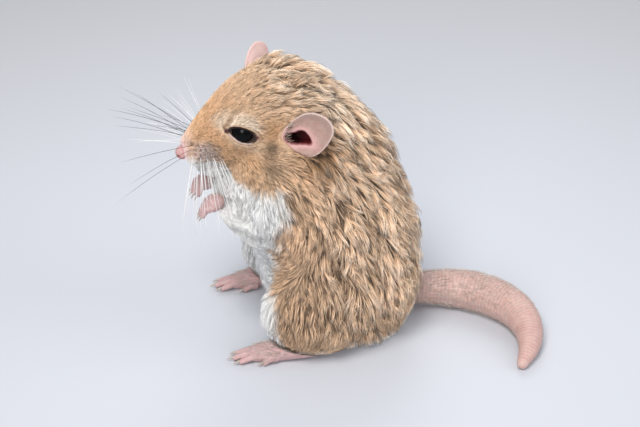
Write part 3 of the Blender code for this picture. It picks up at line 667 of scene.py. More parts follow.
def cord(name, lines, thickness, cyclic=False):
    """Round cords along lines of points in metres, each with its share of the thickness."""
    curve = bpy.data.curves.new(name, "CURVE")
    curve.dimensions, curve.use_fill_caps = "3D", not cyclic
    curve.bevel_depth, curve.bevel_resolution = thickness, 3
    for line in lines:
        spline = curve.splines.new("POLY")
        spline.points.add(len(line) - 1)
        spline.use_cyclic_u = cyclic
        for point, (place, share) in zip(spline.points, line):
            point.co, point.radius = (*place, 1), share
    ring = new_object(name, curve)
    bpy.context.view_layer.update()
    graph = bpy.context.evaluated_depsgraph_get()
    mesh = bpy.data.meshes.new_from_object(ring.evaluated_get(graph))
    bpy.data.objects.remove(ring)
    mesh.materials.clear()
    bm = bmesh.new()
    bm.from_mesh(mesh)
    bpy.data.meshes.remove(mesh)
    bmesh.ops.remove_doubles(bm, verts=bm.verts, dist=WELD)
    bmesh.ops.recalc_face_normals(bm, faces=bm.faces)
    obj = from_bmesh(name, bm)
    obj.data.shade_smooth()
    return obj


def finish_piece(obj, slot, material, *nodes):
    obj.data.materials.clear()
    obj.data.materials.append(material)
    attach(obj, "root")
    if nodes:
        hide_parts(*nodes)
    triangles = sum(len(p.vertices) - 2 for p in obj.data.polygons)
    if triangles >= PIECE_LIMIT:
        raise RuntimeError(f"{obj.name} has {triangles} triangles")
    return obj


# Materials


class Value:
    """A socket whose arithmetic adds Math nodes to its tree."""

    def __init__(self, tree, socket):
        self.tree, self.socket = tree, socket

    def _math(self, operation, *values):
        return self.tree.add("ShaderNodeMath", {"operation": operation}, dict(enumerate(values)))

    def __add__(self, other):
        return self._math("ADD", self, other)

    def __sub__(self, other):
        return self._math("SUBTRACT", self, other)

    def __mul__(self, other):
        return self._math("MULTIPLY", self, other)

    def __rsub__(self, other):
        return self._math("SUBTRACT", other, self)

    __radd__, __rmul__ = __add__, __mul__

    def clamped(self):
        return self.tree.add("ShaderNodeClamp", {}, {"Value": self})

    def between(self, low, high):
        """0 at low, 1 at high, with soft ends."""
        inputs = {"Value": self, "From Min": low, "From Max": high}
        return self.tree.add("ShaderNodeMapRange", {"interpolation_type": "SMOOTHSTEP"}, inputs)


class Shader:
    """One material whose nodes are added by a single method."""

    def __init__(self, name, **constants):
        self.material = bpy.data.materials.new(name)
        self.material.use_nodes = True
        self.nodes, self.links = self.material.node_tree.nodes, self.material.node_tree.links
        self.principled = self.nodes["Principled BSDF"]
        for socket, value in constants.items():
            self.principled.inputs[socket.replace("_", " ")].default_value = value

    def add(self, kind, choices, inputs, output=0):
        node = self.nodes.new(kind)
        for name, value in choices.items():
            setattr(node, name, value)
        for key, value in inputs.items():
            socket = node.inputs[key]
            if isinstance(value, Value):
                self.links.new(value.socket, socket)
            elif hasattr(socket.default_value, "__len__") and len(socket.default_value) == 4:
                socket.default_value = (*value, 1.0)
            else:
                socket.default_value = value
        return Value(self, node.outputs[output])

    def attribute(self, name):
        return self.add("ShaderNodeAttribute", {"attribute_name": name}, {}, "Fac")

    def object_coordinates(self):
        return self.add("ShaderNodeTexCoord", {}, {}, "Object")

    def noise(self, scale, detail=2.0, roughness=0.5, vector=None):
        inputs = {"Scale": scale, "Detail": detail, "Roughness": roughness}
        inputs["Vector"] = vector or self.object_coordinates()
        return self.add("ShaderNodeTexNoise", {}, inputs, "Fac")

    def mix(self, first, second, factor):
        """A colour between two, by a factor."""
        choices = {"data_type": "RGBA", "clamp_factor": True}
        return self.add("ShaderNodeMix", choices, {0: factor, 6: first, 7: second}, 2)

    def scaled(self, colour, by):
        """A colour made lighter or darker by a value."""
        vector = self.add("ShaderNodeCombineXYZ", {}, {"X": by, "Y": by, "Z": by})
        choices = {"data_type": "RGBA", "blend_type": "MULTIPLY"}
        return self.add("ShaderNodeMix", choices, {0: 1.0, 6: colour, 7: vector}, 2)

    def bump(self, height, strength, distance):
        inputs = {"Height": height, "Strength": strength, "Distance": distance}
        return self.add("ShaderNodeBump", {}, inputs)

    def set(self, name, value):
        self.links.new(value.socket, self.principled.inputs[name])

    def coat_colour(self):
        """The markings as a colour."""
        coat = settings()[0]
        body = self.mix(tuple(coat.sand), tuple(coat.rust), self.attribute("rust"))
        body = self.mix(body, tuple(coat.pale), self.attribute("pale"))
        body = self.mix(body, tuple(coat.blush), self.attribute("blush") * 0.9)
        return self.mix(body, tuple(coat.cream), self.attribute("white"))


def hair_material():
    coat = settings()[0]
    shader = Shader("hair", Roughness=0.75, Specular_IOR_Level=0.18)
    along, tint = shader.attribute("along"), shader.attribute("tint")
    white, dark = shader.attribute("white"), shader.attribute("dark")
    soot, rough = shader.attribute("soot"), shader.attribute("rough")
    colour = shader.coat_colour()
    # darker towards the root: partly the slate undercoat, partly painted shade deep in the coat
    root = shader.mix(shader.scaled(colour, 0.55), tuple(coat.slate), rough)
    root = shader.mix(root, tuple(coat.cream), white.between(0.15, 0.8))
    colour = shader.mix(root, colour, along.between(0.06, 0.50))
    pale = along.between(0.35, 0.9) * (1 - white) * tint.between(0.12, 0.75)
    colour = shader.mix(colour, tuple(coat.pale), pale * (dark * 0.78 + 0.20))
    colour = shader.scaled(colour, (tint - 0.5) * (1 - white * 0.65) * 0.72 + 1.0)
    brown = (1 - tint).between(0.80, 0.97) * (1 - white) * 0.6
    colour = shader.mix(colour, tuple(coat.brown), brown)
    tip = along.between(0.55, 0.92) * dark.between(0.10, 0.9) * (1 - tint).between(0.48, 0.74)
    # the soot mark darkens the tips, and below each ear it is painted shadow
    tip = (tip * 0.75 + soot * 0.8).clamped()
    shader.set("Base Color", shader.mix(colour, tuple(coat.soot), tip))
    return shader.material


def skin_material():
    coat, skin, _ = settings()
    shader = Shader("furred_skin", Roughness=0.8, Specular_IOR_Level=0.2)
    shade = shader.noise(900.0, 4.0, 0.6)
    white = shader.attribute("white")
    # painted shade of the hair: under the coat the skin takes the coat's colour darkened to 0.40 to 0.90 of
    # it
    under = shader.scaled(shader.coat_colour(), shade * 0.5 + 0.40)
    # towards slate where the hair is long: partly the undercoat's own colour, partly painted shade under the
    # hair
    under = shader.mix(under, tuple(coat.slate), (1 - white) * shader.attribute("covered") * 0.55)
    bare = shader.mix(tuple(skin.lip), tuple(skin.flush), shade * 0.20)
    colour = shader.mix(under, bare, shader.attribute("bare"))
    # painted shade in the mouth's line, the lip's cleft and the ear's canal; the whisker specks and the eye's
    # corners are the skin's own dark marks
    colour = shader.mix(colour, tuple(skin.flush), shader.attribute("mouth"))
    shader.set("Base Color", shader.mix(colour, tuple(skin.rim), shader.attribute("rim")))
    shader.set("Normal", shader.bump(shade, 0.35, 0.00012))
    return shader.material


def bare_material(name, colour, deep, grain, rings=False):
    """Bare skin: painted darker in its folds and between rings as shade, with random blotches, and a fine
    grain breaks the light.
    """
    shader = Shader(name, Roughness=0.46, Specular_IOR_Level=0.45, Subsurface_Weight=0.12)
    shader.principled.inputs["Subsurface Radius"].default_value = (0.0012, 0.0005, 0.0003)
    cells = shader.add(
        "ShaderNodeTexVoronoi", {"feature": "DISTANCE_TO_EDGE"},
        {"Scale": grain, "Vector": shader.object_coordinates()}, "Distance",
    )
    cells = cells.between(0.0, 0.25)
    blotch = shader.noise(420.0, 3.0, 0.55)
    height = cells
    if rings:
        band = shader.attribute("ring")
        height = band * 0.8 + cells * 0.35
    # painted shade: darker where the grain and the rings sink, with random blotches of the skin's own tone
    shade_and_blotch = (1 - height) * 0.35 + blotch * 0.45
    shader.set("Base Color", shader.mix(colour, deep, (shade_and_blotch - 0.12).clamped() + shader.attribute("flush")))
    shader.set("Normal", shader.bump(height, 0.55, 0.00010))
    return shader.material


# The skin


def coat_depth(points):
    """How far the skin lies under the tips of the coat, in metres, with the bare places left out."""
    b, h = to_frame(BODY, points), to_frame(HEAD, points)
    _, _, depth = LIE.read(b)
    for side in SIDES:
        level = lid_level(h, side)
        depth = np.where(level < 9, depth * (0.08 + 0.92 * smoothstep(1.0, 2.2, level)), depth)
    depth *= 0.05 + 0.95 * smoothstep(1.8, 4.2, np.linalg.norm(h - np.array(NOSE_AT), axis=1))
    depth *= 0.25 + 0.75 * smoothstep(0.0, 4.0, b[:, 2])
    return depth * MM


def mouth_groove(h):
    """1 in the line of the mouth and in the cleft of the upper lip, 0 away from them."""
    line = h[:, 2] - (MOUTH_HEIGHT + MOUTH_SLOPE * (h[:, 0] - MOUTH_BACK))
    mouth = np.exp(-((line / 0.32) ** 2)) * smoothstep(MOUTH_BACK + 0.4, MOUTH_BACK - 1.2, h[:, 0])
    cleft = np.exp(-((h[:, 1] / 0.24) ** 2)) * smoothstep(-11.0, -12.2, h[:, 0])
    cleft *= smoothstep(-6.4, -7.0, h[:, 2]) * smoothstep(-11.0, -10.2, h[:, 2])
    return np.maximum(mouth, cleft)


class GERBIL_OT_skin(Operator):
    """Makes one skin out of the fleshy solids, pushed in by the depth of the coat"""

    bl_idname = "gerbil.skin"
    bl_label = "Skin"

    def execute(self, context):
        _, sizes, _ = settings()
        whole = node_copies(SKIN_NODES, GROWTH)
        for side in SIDES:
            place = HEAD_PLACE @ eye_frame(side)
            bmesh.ops.create_icosphere(whole, subdivisions=4, radius=LID_RADIUS, matrix=place)
        obj = remesh(from_bmesh("skin", whole), sizes.voxel)
        relax(obj.data, 6)
        self.push_in(obj.data)
        obj = remesh(obj, sizes.voxel)
        relax(obj.data, 3)
        co = coordinates(obj.data)
        groove = mouth_groove(to_frame(HEAD, co)) * GROOVE_DEPTH
        set_coordinates(obj.data, co - normals_of(obj.data) * groove[:, None])
        for side in SIDES:
            self.open_lids(obj.data, side)
            self.sink_ear(obj.data, side)
        self.paint(obj.data)
        unwrap(obj)
        obj.data.shade_smooth()
        finish_piece(obj, "coat", skin_material(), *SKIN_NODES)
        return {"FINISHED"}

    def push_in(self, mesh):
        """Sets the skin under the tips of the coat, a little at a time."""
        depth, steps = coat_depth(coordinates(mesh)), 6
        for _ in range(steps):
            set_coordinates(mesh, coordinates(mesh) - normals_of(mesh) * (depth / steps)[:, None])
            relax(mesh, 1, 0.4)

    def open_lids(self, mesh, side):
        """Draws the skin out over the ball of the eye, and in under it between the lids."""
        co = coordinates(mesh)
        h = to_frame(HEAD, co)
        level, local = lid_level(h, side), to_frame(eye_frame(side), h * MM)
        reach = np.linalg.norm(local, axis=1)
        gap = smoothstep(1.08, 0.94, level)
        wanted = np.maximum(reach, LID_RADIUS) * (1 - gap) + (BALL_RADIUS - LID_TUCK) * gap
        shift = np.where(reach < LID_RADIUS + LID_REACH, wanted - reach, 0.0)
        shift *= smoothstep(-0.5, 0.3, local[:, 0])
        centre = np.array((HEAD @ mirrored(EYE_AT, side)) * MM)
        set_coordinates(mesh, co + (co - centre) * (shift / reach)[:, None])

    def sink_ear(self, mesh, side):
        """Sinks the skin under the cup of the ear."""
        co = coordinates(mesh)
        share, _, above = in_ear(side, to_frame(HEAD, co))
        sink = np.where(share < 1.0, np.maximum(above + EAR_CLEARANCE, 0.0), 0.0)
        sink *= smoothstep(1.04, 0.92, share)
        opens = np.array(HEAD_TURN @ ear_axes(side)[1])
        set_coordinates(mesh, co - sink[:, None] * opens * MM)

    def paint(self, mesh):
        """The markings, and where the skin is bare, wet or dark."""
        co = coordinates(mesh)
        for name, values in markings(co).items():
            set_attribute(mesh, name, values)
        b, h = to_frame(BODY, co), to_frame(HEAD, co)
        rim, corner = np.zeros((2, len(co)))
        for side in SIDES:
            rim = np.maximum(rim, smoothstep(1.25, 1.08, lid_level(h, side)))
            corner = np.maximum(corner, corner_shade(*eye_plane(h, side)))
        nose = near(h, NOSE_AT, 7.0)
        groove = mouth_groove(h)
        muzzle = 0.4 * smoothstep(-11.0, -13.5, h[:, 0])
        canal, pad, speck = np.zeros((3, len(co)))
        for side, sign in SIDES.items():
            share, pit, above = in_ear(side, h)
            canal = np.maximum(canal, smoothstep(1.4, 1.1, pit) * (share < 0.9) * (above > -1.5))
            pad = np.maximum(pad, near(h, across(PAD_AT, side), 3.8))
            for root, _, _ in whisker_roots(side):
                spot = near(h[:, (0, 2)], (root.x, root.z), 0.42) * (h[:, 1] * sign > 1.0)
                speck = np.maximum(speck, spot)
        _, length, _ = LIE.read(b)
        set_attribute(mesh, "rim", np.maximum(rim, corner * 0.88))
        set_attribute(mesh, "bare", np.clip(np.maximum.reduce([nose * 1.4, muzzle, canal * 2, pad]), 0, 1))
        # the mouth's line, the lip's cleft and the ear's canal darken as painted shade in their grooves; the
        # specks and eye corners are the skin's own marks
        set_attribute(mesh, "mouth", np.clip(groove * 0.8 + canal + speck + corner, 0, 1))
        # how long the hair over the skin is, which sets the slate and the painted shade under it
        set_attribute(mesh, "covered", smoothstep(1.5, 5.0, length))


# Eyes


class GERBIL_OT_eyes(Operator):
    """Makes the two black, wet eyes, a little fuller in front"""

    bl_idname = "gerbil.eyes"
    bl_label = "Eyes"

    def execute(self, context):
        wet = {"Roughness": 0.20, "Specular_IOR_Level": 0.03, "Coat_Weight": 0.18, "Coat_Roughness": 0.03}
        shader = Shader("wet_eye", **wet)
        inner = shader.attribute("pupil")
        shader.set("Base Color", shader.mix(EYE_BLACK, PUPIL_BLACK, inner))
        for side in SIDES:
            bm = bmesh.new()
            bmesh.ops.create_uvsphere(bm, u_segments=64, v_segments=40, radius=BALL_RADIUS)
            bmesh.ops.rotate(bm, verts=bm.verts, matrix=Matrix.Rotation(math.radians(90), 3, "Y"))
            out = np.array([max(v.co.normalized().x, 0.0) for v in bm.verts])
            for vertex, share in zip(bm.verts, out):
                vertex.co *= 1.0 + BALL_BULGE * share**4
            bmesh.ops.transform(bm, matrix=HEAD_PLACE @ eye_frame(side), verts=bm.verts)
            obj = from_bmesh(side + "_eyeball", bm)
            set_attribute(obj.data, "pupil", smoothstep(0.80, 0.86, out))
            obj.data.shade_smooth()
            finish_piece(obj, "eye", shader.material, side + "_eye")
        return {"FINISHED"}


class GERBIL_OT_lids(Operator):
    """Makes the lids that close over each eye, and their dark wet rim"""

    bl_idname = "gerbil.lids"
    bl_label = "Lids"

    def execute(self, context):
        _, skin, _ = settings()
        rim = Shader("lid_rim", Roughness=0.5, Specular_IOR_Level=0.06)
        grain = rim.noise(4200.0, 2.0)
        rim.set("Base Color", rim.mix(tuple(c * 0.4 for c in skin.rim), tuple(skin.rim), grain))
        rim.set("Normal", rim.bump(grain, 0.3, 0.00004))
        lid = Shader("lid_skin", Roughness=0.7, Specular_IOR_Level=0.08)
        grain = lid.noise(3000.0, 3.0)
        edge, low, corner = (lid.attribute(name) for name in ("edge", "low", "corner"))
        colour = lid.mix(UPPER_LID, LOWER_LID, edge.between(0.30, 0.60) * low)
        dark = edge.between(0.78, 0.95) * low + edge.between(0.25, 0.60) * (1 - low)
        colour = lid.mix(colour, tuple(skin.rim), dark.clamped())
        colour = lid.mix(colour, EYE_CORNER, corner)
        lid.set("Base Color", lid.scaled(colour, grain * 0.4 + 0.8))
        lid.set("Normal", lid.bump(grain, 0.5, 0.00008))
        surface = bpy.data.objects["skin"].data
        surface.calc_loop_triangles()
        corners = [t.vertices[:] for t in surface.loop_triangles]
        tree = BVHTree.FromPolygons(coordinates(surface).tolist(), corners)
        for side in SIDES:
            self.side(side, tree, lid.material, rim.material)
        return {"FINISHED"}

    def side(self, side, tree, lid, rim):
        """A band from the line of the lids out to the skin."""
        place = HEAD_PLACE @ eye_frame(side)
        inverse = place.inverted()
        look = (place.to_3x3() @ Vector((-1, 0, 0))).normalized()
        count, rows = 96, len(LID_STEPS)
        bm = bmesh.new()
        bmesh.ops.create_grid(bm, x_segments=count, y_segments=rows - 1, size=1.0)
        turns = np.array([v.co.x for v in bm.verts]) * math.pi
        steps = np.interp([v.co.y for v in bm.verts], np.linspace(-1, 1, rows), LID_STEPS)
        inner = outline_reach(LID_LINE, (0.0, 0.0), turns)
        outer = 0.25 + inner * 1.28
        reach = inner * (1 - steps) + outer * steps
        back, rise = np.cos(turns) * reach, np.sin(turns) * reach
        depth = np.empty(len(turns))
        for i, (step, y, z) in enumerate(zip(steps, back * -SIDES[side], rise)):
            hit, _, _, _ = tree.ray_cast(place @ Vector((9, y, z)), look)
            skin = (inverse @ hit).x if hit else 0.0
            ball = self.on_ball(y, z)
            deep = ball * (1 - step) + skin * step + 0.06 * math.sin(math.pi * step)
            depth[i] = skin - 0.12 if step == 1 else max(deep, min(skin + 0.03, deep + 0.8), 0.4)
        for vertex, *point in zip(bm.verts, depth, back * -SIDES[side], rise):
            vertex.co = place @ Vector(point)
        readings = {
            "edge": 1 - steps,
            "low": smoothstep(0.35, -0.35, np.sin(turns)),
            "corner": corner_shade(np.ones(len(back)), back, rise),
        }
        record(bm, readings)
        bmesh.ops.remove_doubles(bm, verts=bm.verts, dist=WELD)
        bmesh.ops.recalc_face_normals(bm, faces=bm.faces)
        obj = from_bmesh(side + "_lids", bm)
        relax(obj.data, 2, 0.4)
        wall = obj.modifiers.new("wall", "SOLIDIFY")
        wall.thickness, wall.offset = LID_WALL, 0.0
        soft = obj.modifiers.new("soft", "SUBSURF")
        soft.levels = soft.render_levels = 1
        settle(obj)
        obj.data.shade_smooth()
        finish_piece(obj, "skin", lid)
        self.rim(side, place, count, rim)

    def on_ball(self, y, z, least=0.0):
        """How far out the ball that the lids lie on is, at a place across the eye."""
        return math.sqrt(max((BALL_RADIUS * LID_CLEARANCE) ** 2 - y * y - z * z, least))

    def rim(self, side, place, count, material):
        """A soft dark cord along the line of the lids."""
        line = []
        for turn in np.arange(count) / count * math.tau:
            reach = float(outline_reach(LID_LINE, (0.0, 0.0), np.array([turn]))[0]) * 0.97
            y, z = math.cos(turn) * reach * -SIDES[side], math.sin(turn) * reach
            ball = self.on_ball(y, z, 0.3)
            line.append((place @ Vector((ball, y, z)), 0.5 + 0.5 * abs(math.sin(turn))))
        finish_piece(cord(side + "_lid_rim", [line], LID_RIM, cyclic=True), "skin", material)


# Ears


class GERBIL_OT_ears(Operator):
    """Makes each ear as a thin cup round a deep pit, with a fringe at its front"""

    bl_idname = "gerbil.ears"
    bl_label = "Ears"

    def execute(self, context):
        _, skin, _ = settings()
        shader = Shader("ear_skin", Roughness=0.6, Specular_IOR_Level=0.16, Subsurface_Weight=0.18)
        shader.principled.inputs["Subsurface Radius"].default_value = (0.0016, 0.0006, 0.0004)
        pit, share, upper, back = (shader.attribute(name) for name in ("pit", "share", "upper", "back"))
        vein = shader.noise(240.0, 5.0, 0.62)
        veins = (1 - (vein - 0.5) * (vein - 0.5) * 260.0).clamped()
        speck = shader.noise(2600.0, 2.0, 0.5)
        # painted shade in the canal: near black at the pit's middle and front, dark red at its back, lighter
        # up its wall to the rim, over the skin's own red
        colour = shader.mix(PIT_FRONT, PIT_BACK, back)
        colour = shader.mix(colour, PIT_EDGE, pit.between(0.90, 1.06))
        colour = shader.mix(colour, PIT_SLOPE, pit.between(1.02, 1.22))
        colour = shader.mix(colour, tuple(skin.ear), pit.between(1.2, 2.0))
        colour = shader.mix(colour, EAR_VEIN, veins * pit.between(1.2, 1.6) * 0.22)
        # painted shade under the upper rim, inside the cup
        colour = shader.mix(colour, EAR_PAINTED_SHADE, share.between(0.70, 0.92) * upper * 0.55)
        colour = shader.mix(colour, EAR_EDGE, share.between(0.93, 1.0) * 0.7)
        # painted light: the far ear glows paler, as if lit from behind through its thin skin
        glow = shader.attribute("thin") * share.between(0.3, 0.7) * 0.7
        colour = shader.mix(colour, EAR_PAINTED_BACKLIGHT, glow)
        shader.set("Base Color", shader.scaled(colour, speck * 0.3 + 0.85))
        shader.set("Normal", shader.bump(speck * 0.5 + veins * 0.5, 0.3, 0.00008))
        for side in SIDES:
            self.cup(side, shader.material)
            self.fringe(side)
        return {"FINISHED"}

    def cup(self, side, material):
        bm = bmesh.new()
        bmesh.ops.create_grid(bm, x_segments=72, y_segments=30, size=1.0)
        turns = np.array([v.co.x for v in bm.verts]) * math.pi
        shares = (np.array([v.co.y for v in bm.verts]) + 1) / 2
        far = ear_cup(PIT_AT[0] + np.cos(turns), PIT_AT[1] + np.sin(turns))[0]
        u = PIT_AT[0] + np.cos(turns) * shares / far
        v = PIT_AT[1] + np.sin(turns) * shares / far
        _, pit, height = ear_cup(u, v)
        ripple = 0.09 * np.sin(5 * turns + 2) * smoothstep(0.6, 1.0, shares)
        place = HEAD_PLACE @ ear_frame(side)
        for vertex, *point in zip(bm.verts, u, v, height + ripple):
            vertex.co = place @ Vector(point)
        # where the painted shade under the upper rim goes: full on the near ear, weak on the far one
        upper = smoothstep(-4.0, 0.0, v) * smoothstep(4.0, 8.0, u) * (1.0 if side == "left" else 0.3)
        readings = {"pit": pit, "share": shares, "upper": upper, "back": smoothstep(1.0, 5.5, u)}
        # 1 on the far ear, which is painted as lit from behind
        readings["thin"] = np.full(len(u), float(side == "right"))
        record(bm, readings)
        bmesh.ops.remove_doubles(bm, verts=bm.verts, dist=WELD)
        bmesh.ops.recalc_face_normals(bm, faces=bm.faces)
        obj = from_bmesh(side + "_ear_cup", bm)
        wall = obj.modifiers.new("wall", "SOLIDIFY")
        wall.thickness, wall.offset = EAR_WALL, 0.0
        soft = obj.modifiers.new("soft rim", "SUBSURF")
        soft.levels = soft.render_levels = 1
        settle(obj)
        obj.data.shade_smooth()
        finish_piece(obj, "skin", material, side + "_ear")

    def fringe(self, side):
        """Dark hairs that lean over the pit from the ear's front edge, and pale down on its rim."""
        rng = np.random.default_rng(21)
        place = np.array(HEAD_PLACE @ ear_frame(side))
        count = FRINGE_HAIRS + EAR_DOWN_HAIRS
        front = np.arange(count) < FRINGE_HAIRS

        def either(of_fringe, of_down):
            return np.where(front, rng.uniform(*of_fringe, count), rng.uniform(*of_down, count))

        turns = either((1.55, 3.15), (-math.pi, math.pi))
        edge = np.stack([np.cos(turns), np.sin(turns)], axis=1)
        far = ear_cup(*(np.array(PIT_AT) + edge).T)[0][:, None]
        share = either((0.78, 0.95), (0.90, 0.98))[:, None]
        root = np.array(PIT_AT) + edge * share / far
        dark = front & (rng.random(count) < 0.55)
        long = either((1.2, 2.4), (0.5, 1.0))
        over = np.column_stack([np.full(count, 0.95), np.interp(turns, (1.6, 2.9, 3.1), (0.40, 0.10, -0.20))])
        inward = np.where(front[:, None], over, edge * 0.4 + (0.75, 0.0))
        aim = inward + rng.normal(0, 0.14, (count, 2))
        height = ear_cup(*root.T)[2]
        tip = root + aim * long[:, None]
        middle = (root + tip) / 2
        rise = rng.uniform(0.25, 0.6, count)
        points = []
        for flat, lift in ((root, height - 0.1), (middle, height + rise), (tip, height + rise * 0.9)):
            local = np.column_stack([flat, lift])
            points.append(local @ place[:3, :3].T + place[:3, 3])
        shader = Shader(side + "_ear_fringe", Roughness=0.7, Specular_IOR_Level=0.2)
        black = shader.attribute("dark")
        shader.set("Base Color", shader.mix(FRINGE_PALE, FRINGE_DARK, black))
        strands = {
            "start": points[0], "middle": points[1], "end": points[2],
            "up": np.tile(place[:3, 2] / MM, (count, 1)), "width": np.full(count, FRINGE_WIDTH),
            "uv": rng.uniform(0.1, 0.9, (count, 2)), "kept": {"dark": dark.astype(float)},
        }
        build_strands(side + "_ear_fringe", strands, 3, shader.material)


# Nose, paws and tail


def soft_copy(name, nodes, voxel, times, grow=0.0):
    obj = from_bmesh(name, node_copies(nodes, grow))
    obj = remesh(obj, voxel)
    relax(obj.data, times)
    if grow:
        set_coordinates(obj.data, coordinates(obj.data) - normals_of(obj.data) * grow)
    obj.data.shade_smooth()
    return obj


class GERBIL_OT_bare(Operator):
    """Makes the bare nose, paws, feet and tail"""

    bl_idname = "gerbil.bare"
    bl_label = "Nose, Paws and Tail"

    def execute(self, context):
        _, skin, _ = settings()
        flush = tuple(skin.flush)
        nose = soft_copy("nose_pad", ["nose"], skin.fine_voxel * 0.7, 3)
        h = to_frame(HEAD, coordinates(nose.data))
        # painted shade in the nostrils and the cleft down the nose, over the skin's own deeper colour
        dents = sum(near(h, (-15.3, 1.25 * s, -7.1), 1.0) for s in (-1, 1))
        dents += 0.6 * np.exp(-((h[:, 1] / 0.16) ** 2)) * smoothstep(-6.6, -7.8, h[:, 2])
        set_attribute(nose.data, "flush", np.clip(dents, 0, 1))
        finish_piece(nose, "skin", bare_material("nose_skin", tuple(skin.nose), flush, 5200.0), "nose")
        paw_skin = bare_material("paw_skin", tuple(skin.pink), flush, 3200.0)
        for side in SIDES:
            for part in ("forepaw", "hind_foot"):
                node = f"{side}_{part}"
                voxel = skin.fine_voxel * (1.0 if part == "forepaw" else 1.2)
                paw = soft_copy(node + "_skin", [node], voxel, 2)
                claws = list(claw_places(side, part))
                self.draw_in(paw.data, claws)
                set_attribute(paw.data, "flush", np.zeros(len(paw.data.vertices)))
                unwrap(paw)
                finish_piece(paw, "skin", paw_skin, node)
                self.claws(node + "_claws", claws)
        self.tail(tuple(skin.tail), flush)
        return {"FINISHED"}

    def draw_in(self, mesh, claws):
        """Draws the skin back from the claws to the ends of the toes."""
        co = coordinates(mesh)
        for tip, aim, _ in claws:
            offset = co - np.array((BODY @ tip) * MM)
            ahead = offset @ np.array(aim) / MM
            wide = np.linalg.norm(offset / MM - ahead[:, None] * np.array(aim), axis=1)
            back = np.where((ahead > 0.3) & (wide < 1.1), (ahead - 0.3) * 0.92, 0.0)
            co -= back[:, None] * np.array(aim) * MM
        set_coordinates(mesh, co)
        relax(mesh, 2)

    def claws(self, name, claws):
        horn = Shader("claw", Roughness=0.35, Specular_IOR_Level=0.45, Subsurface_Weight=0.1)
        grain = horn.noise(2600.0, 2.0)
        colour = tuple(settings()[1].horn)
        horn.set("Base Color", horn.mix(colour, tuple(c * 0.6 for c in colour), grain))
        horn.set("Normal", horn.bump(grain, 0.2, 0.00004))
        lines = []
        for tip, aim, long in claws:
            line = []
            for share in np.linspace(-0.25, 1.0, 8):
                place = tip + aim * (long * share) + Vector((0, 0, 0.12 - 0.30 * long * max(share, 0) ** 2))
                thickness = float(np.interp(share, (-0.3, 0.3, 0.8, 1.0), (0.9, 0.85, 0.4, 0.06)))
                line.append(((BODY @ place) * MM, thickness))
            lines.append(line)
        finish_piece(cord(name, lines, CLAW_THICKNESS), "skin", horn.material)

    def tail(self, colour, flush):
        names = ["tail_base", "tail_middle", "tail_tip"]
        tail = soft_copy("tail", names, TAIL_VOXEL, 7, GROWTH)
        b = to_frame(BODY, coordinates(tail.data))
        along, _ = tail_reading(b)
        ring = 0.5 + 0.5 * np.sin(along * math.tau / RING_GAP)
        set_attribute(tail.data, "ring", ring)
        set_attribute(tail.data, "flush", 0.10 * smoothstep(30, 50, along))
        unwrap(tail)
        material = bare_material("tail_skin", colour, flush, 1900.0, rings=True)
        finish_piece(tail, "skin", material, *names)


def claw_places(side, part):
    """The end of each toe, the way its claw points and the claw's length, in the body frame."""
    if part == "forepaw":
        at, aim = mirrored(PAW_AT[side], side), mirrored(PAW_AIM, side).normalized()
        across = Vector((0, 0, 1)).cross(aim).normalized()
        for spread, share in FINGERS:
            heading = (aim + across * spread * 0.22).normalized()
            tip = at + across * spread * PAW_WIDTH * 0.72 + aim * 0.9 + heading * FINGER_LENGTH * share
            tip.z -= 1.2
            yield tip, (heading + Vector((0, 0, -0.5))).normalized(), PAW_CLAW
    else:
        for spread, back, share in TOES:
            heading = Vector((-1.0, spread * 0.28, 0.0)).normalized()
            tip = mirrored(FOOT_END, side) + Vector((back, spread * 2.5, -0.65))
            yield tip + heading * TOE_LENGTH * share, heading, FOOT_CLAW


def tail_reading(b):
    """How far along the tail each point is, and the way to the tip there."""
    path = np.array(TAIL_PATH)
    steps = np.linalg.norm(np.diff(path, axis=0), axis=1)
    starts = np.concatenate([[0], np.cumsum(steps)[:-1]])
    best, along, way = np.full(len(b), 1e9), np.zeros(len(b)), np.zeros((len(b), 3))
    for k in range(len(steps)):
        aim = (path[k + 1] - path[k]) / steps[k]
        share = np.clip((b - path[k]) @ aim, 0, steps[k])
        gap = np.linalg.norm(b - path[k] - share[:, None] * aim, axis=1)
        closer = gap < best
        best = np.where(closer, gap, best)
        along = np.where(closer, starts[k] + share, along)
        way[closer] = aim
    return along, way


# The coat


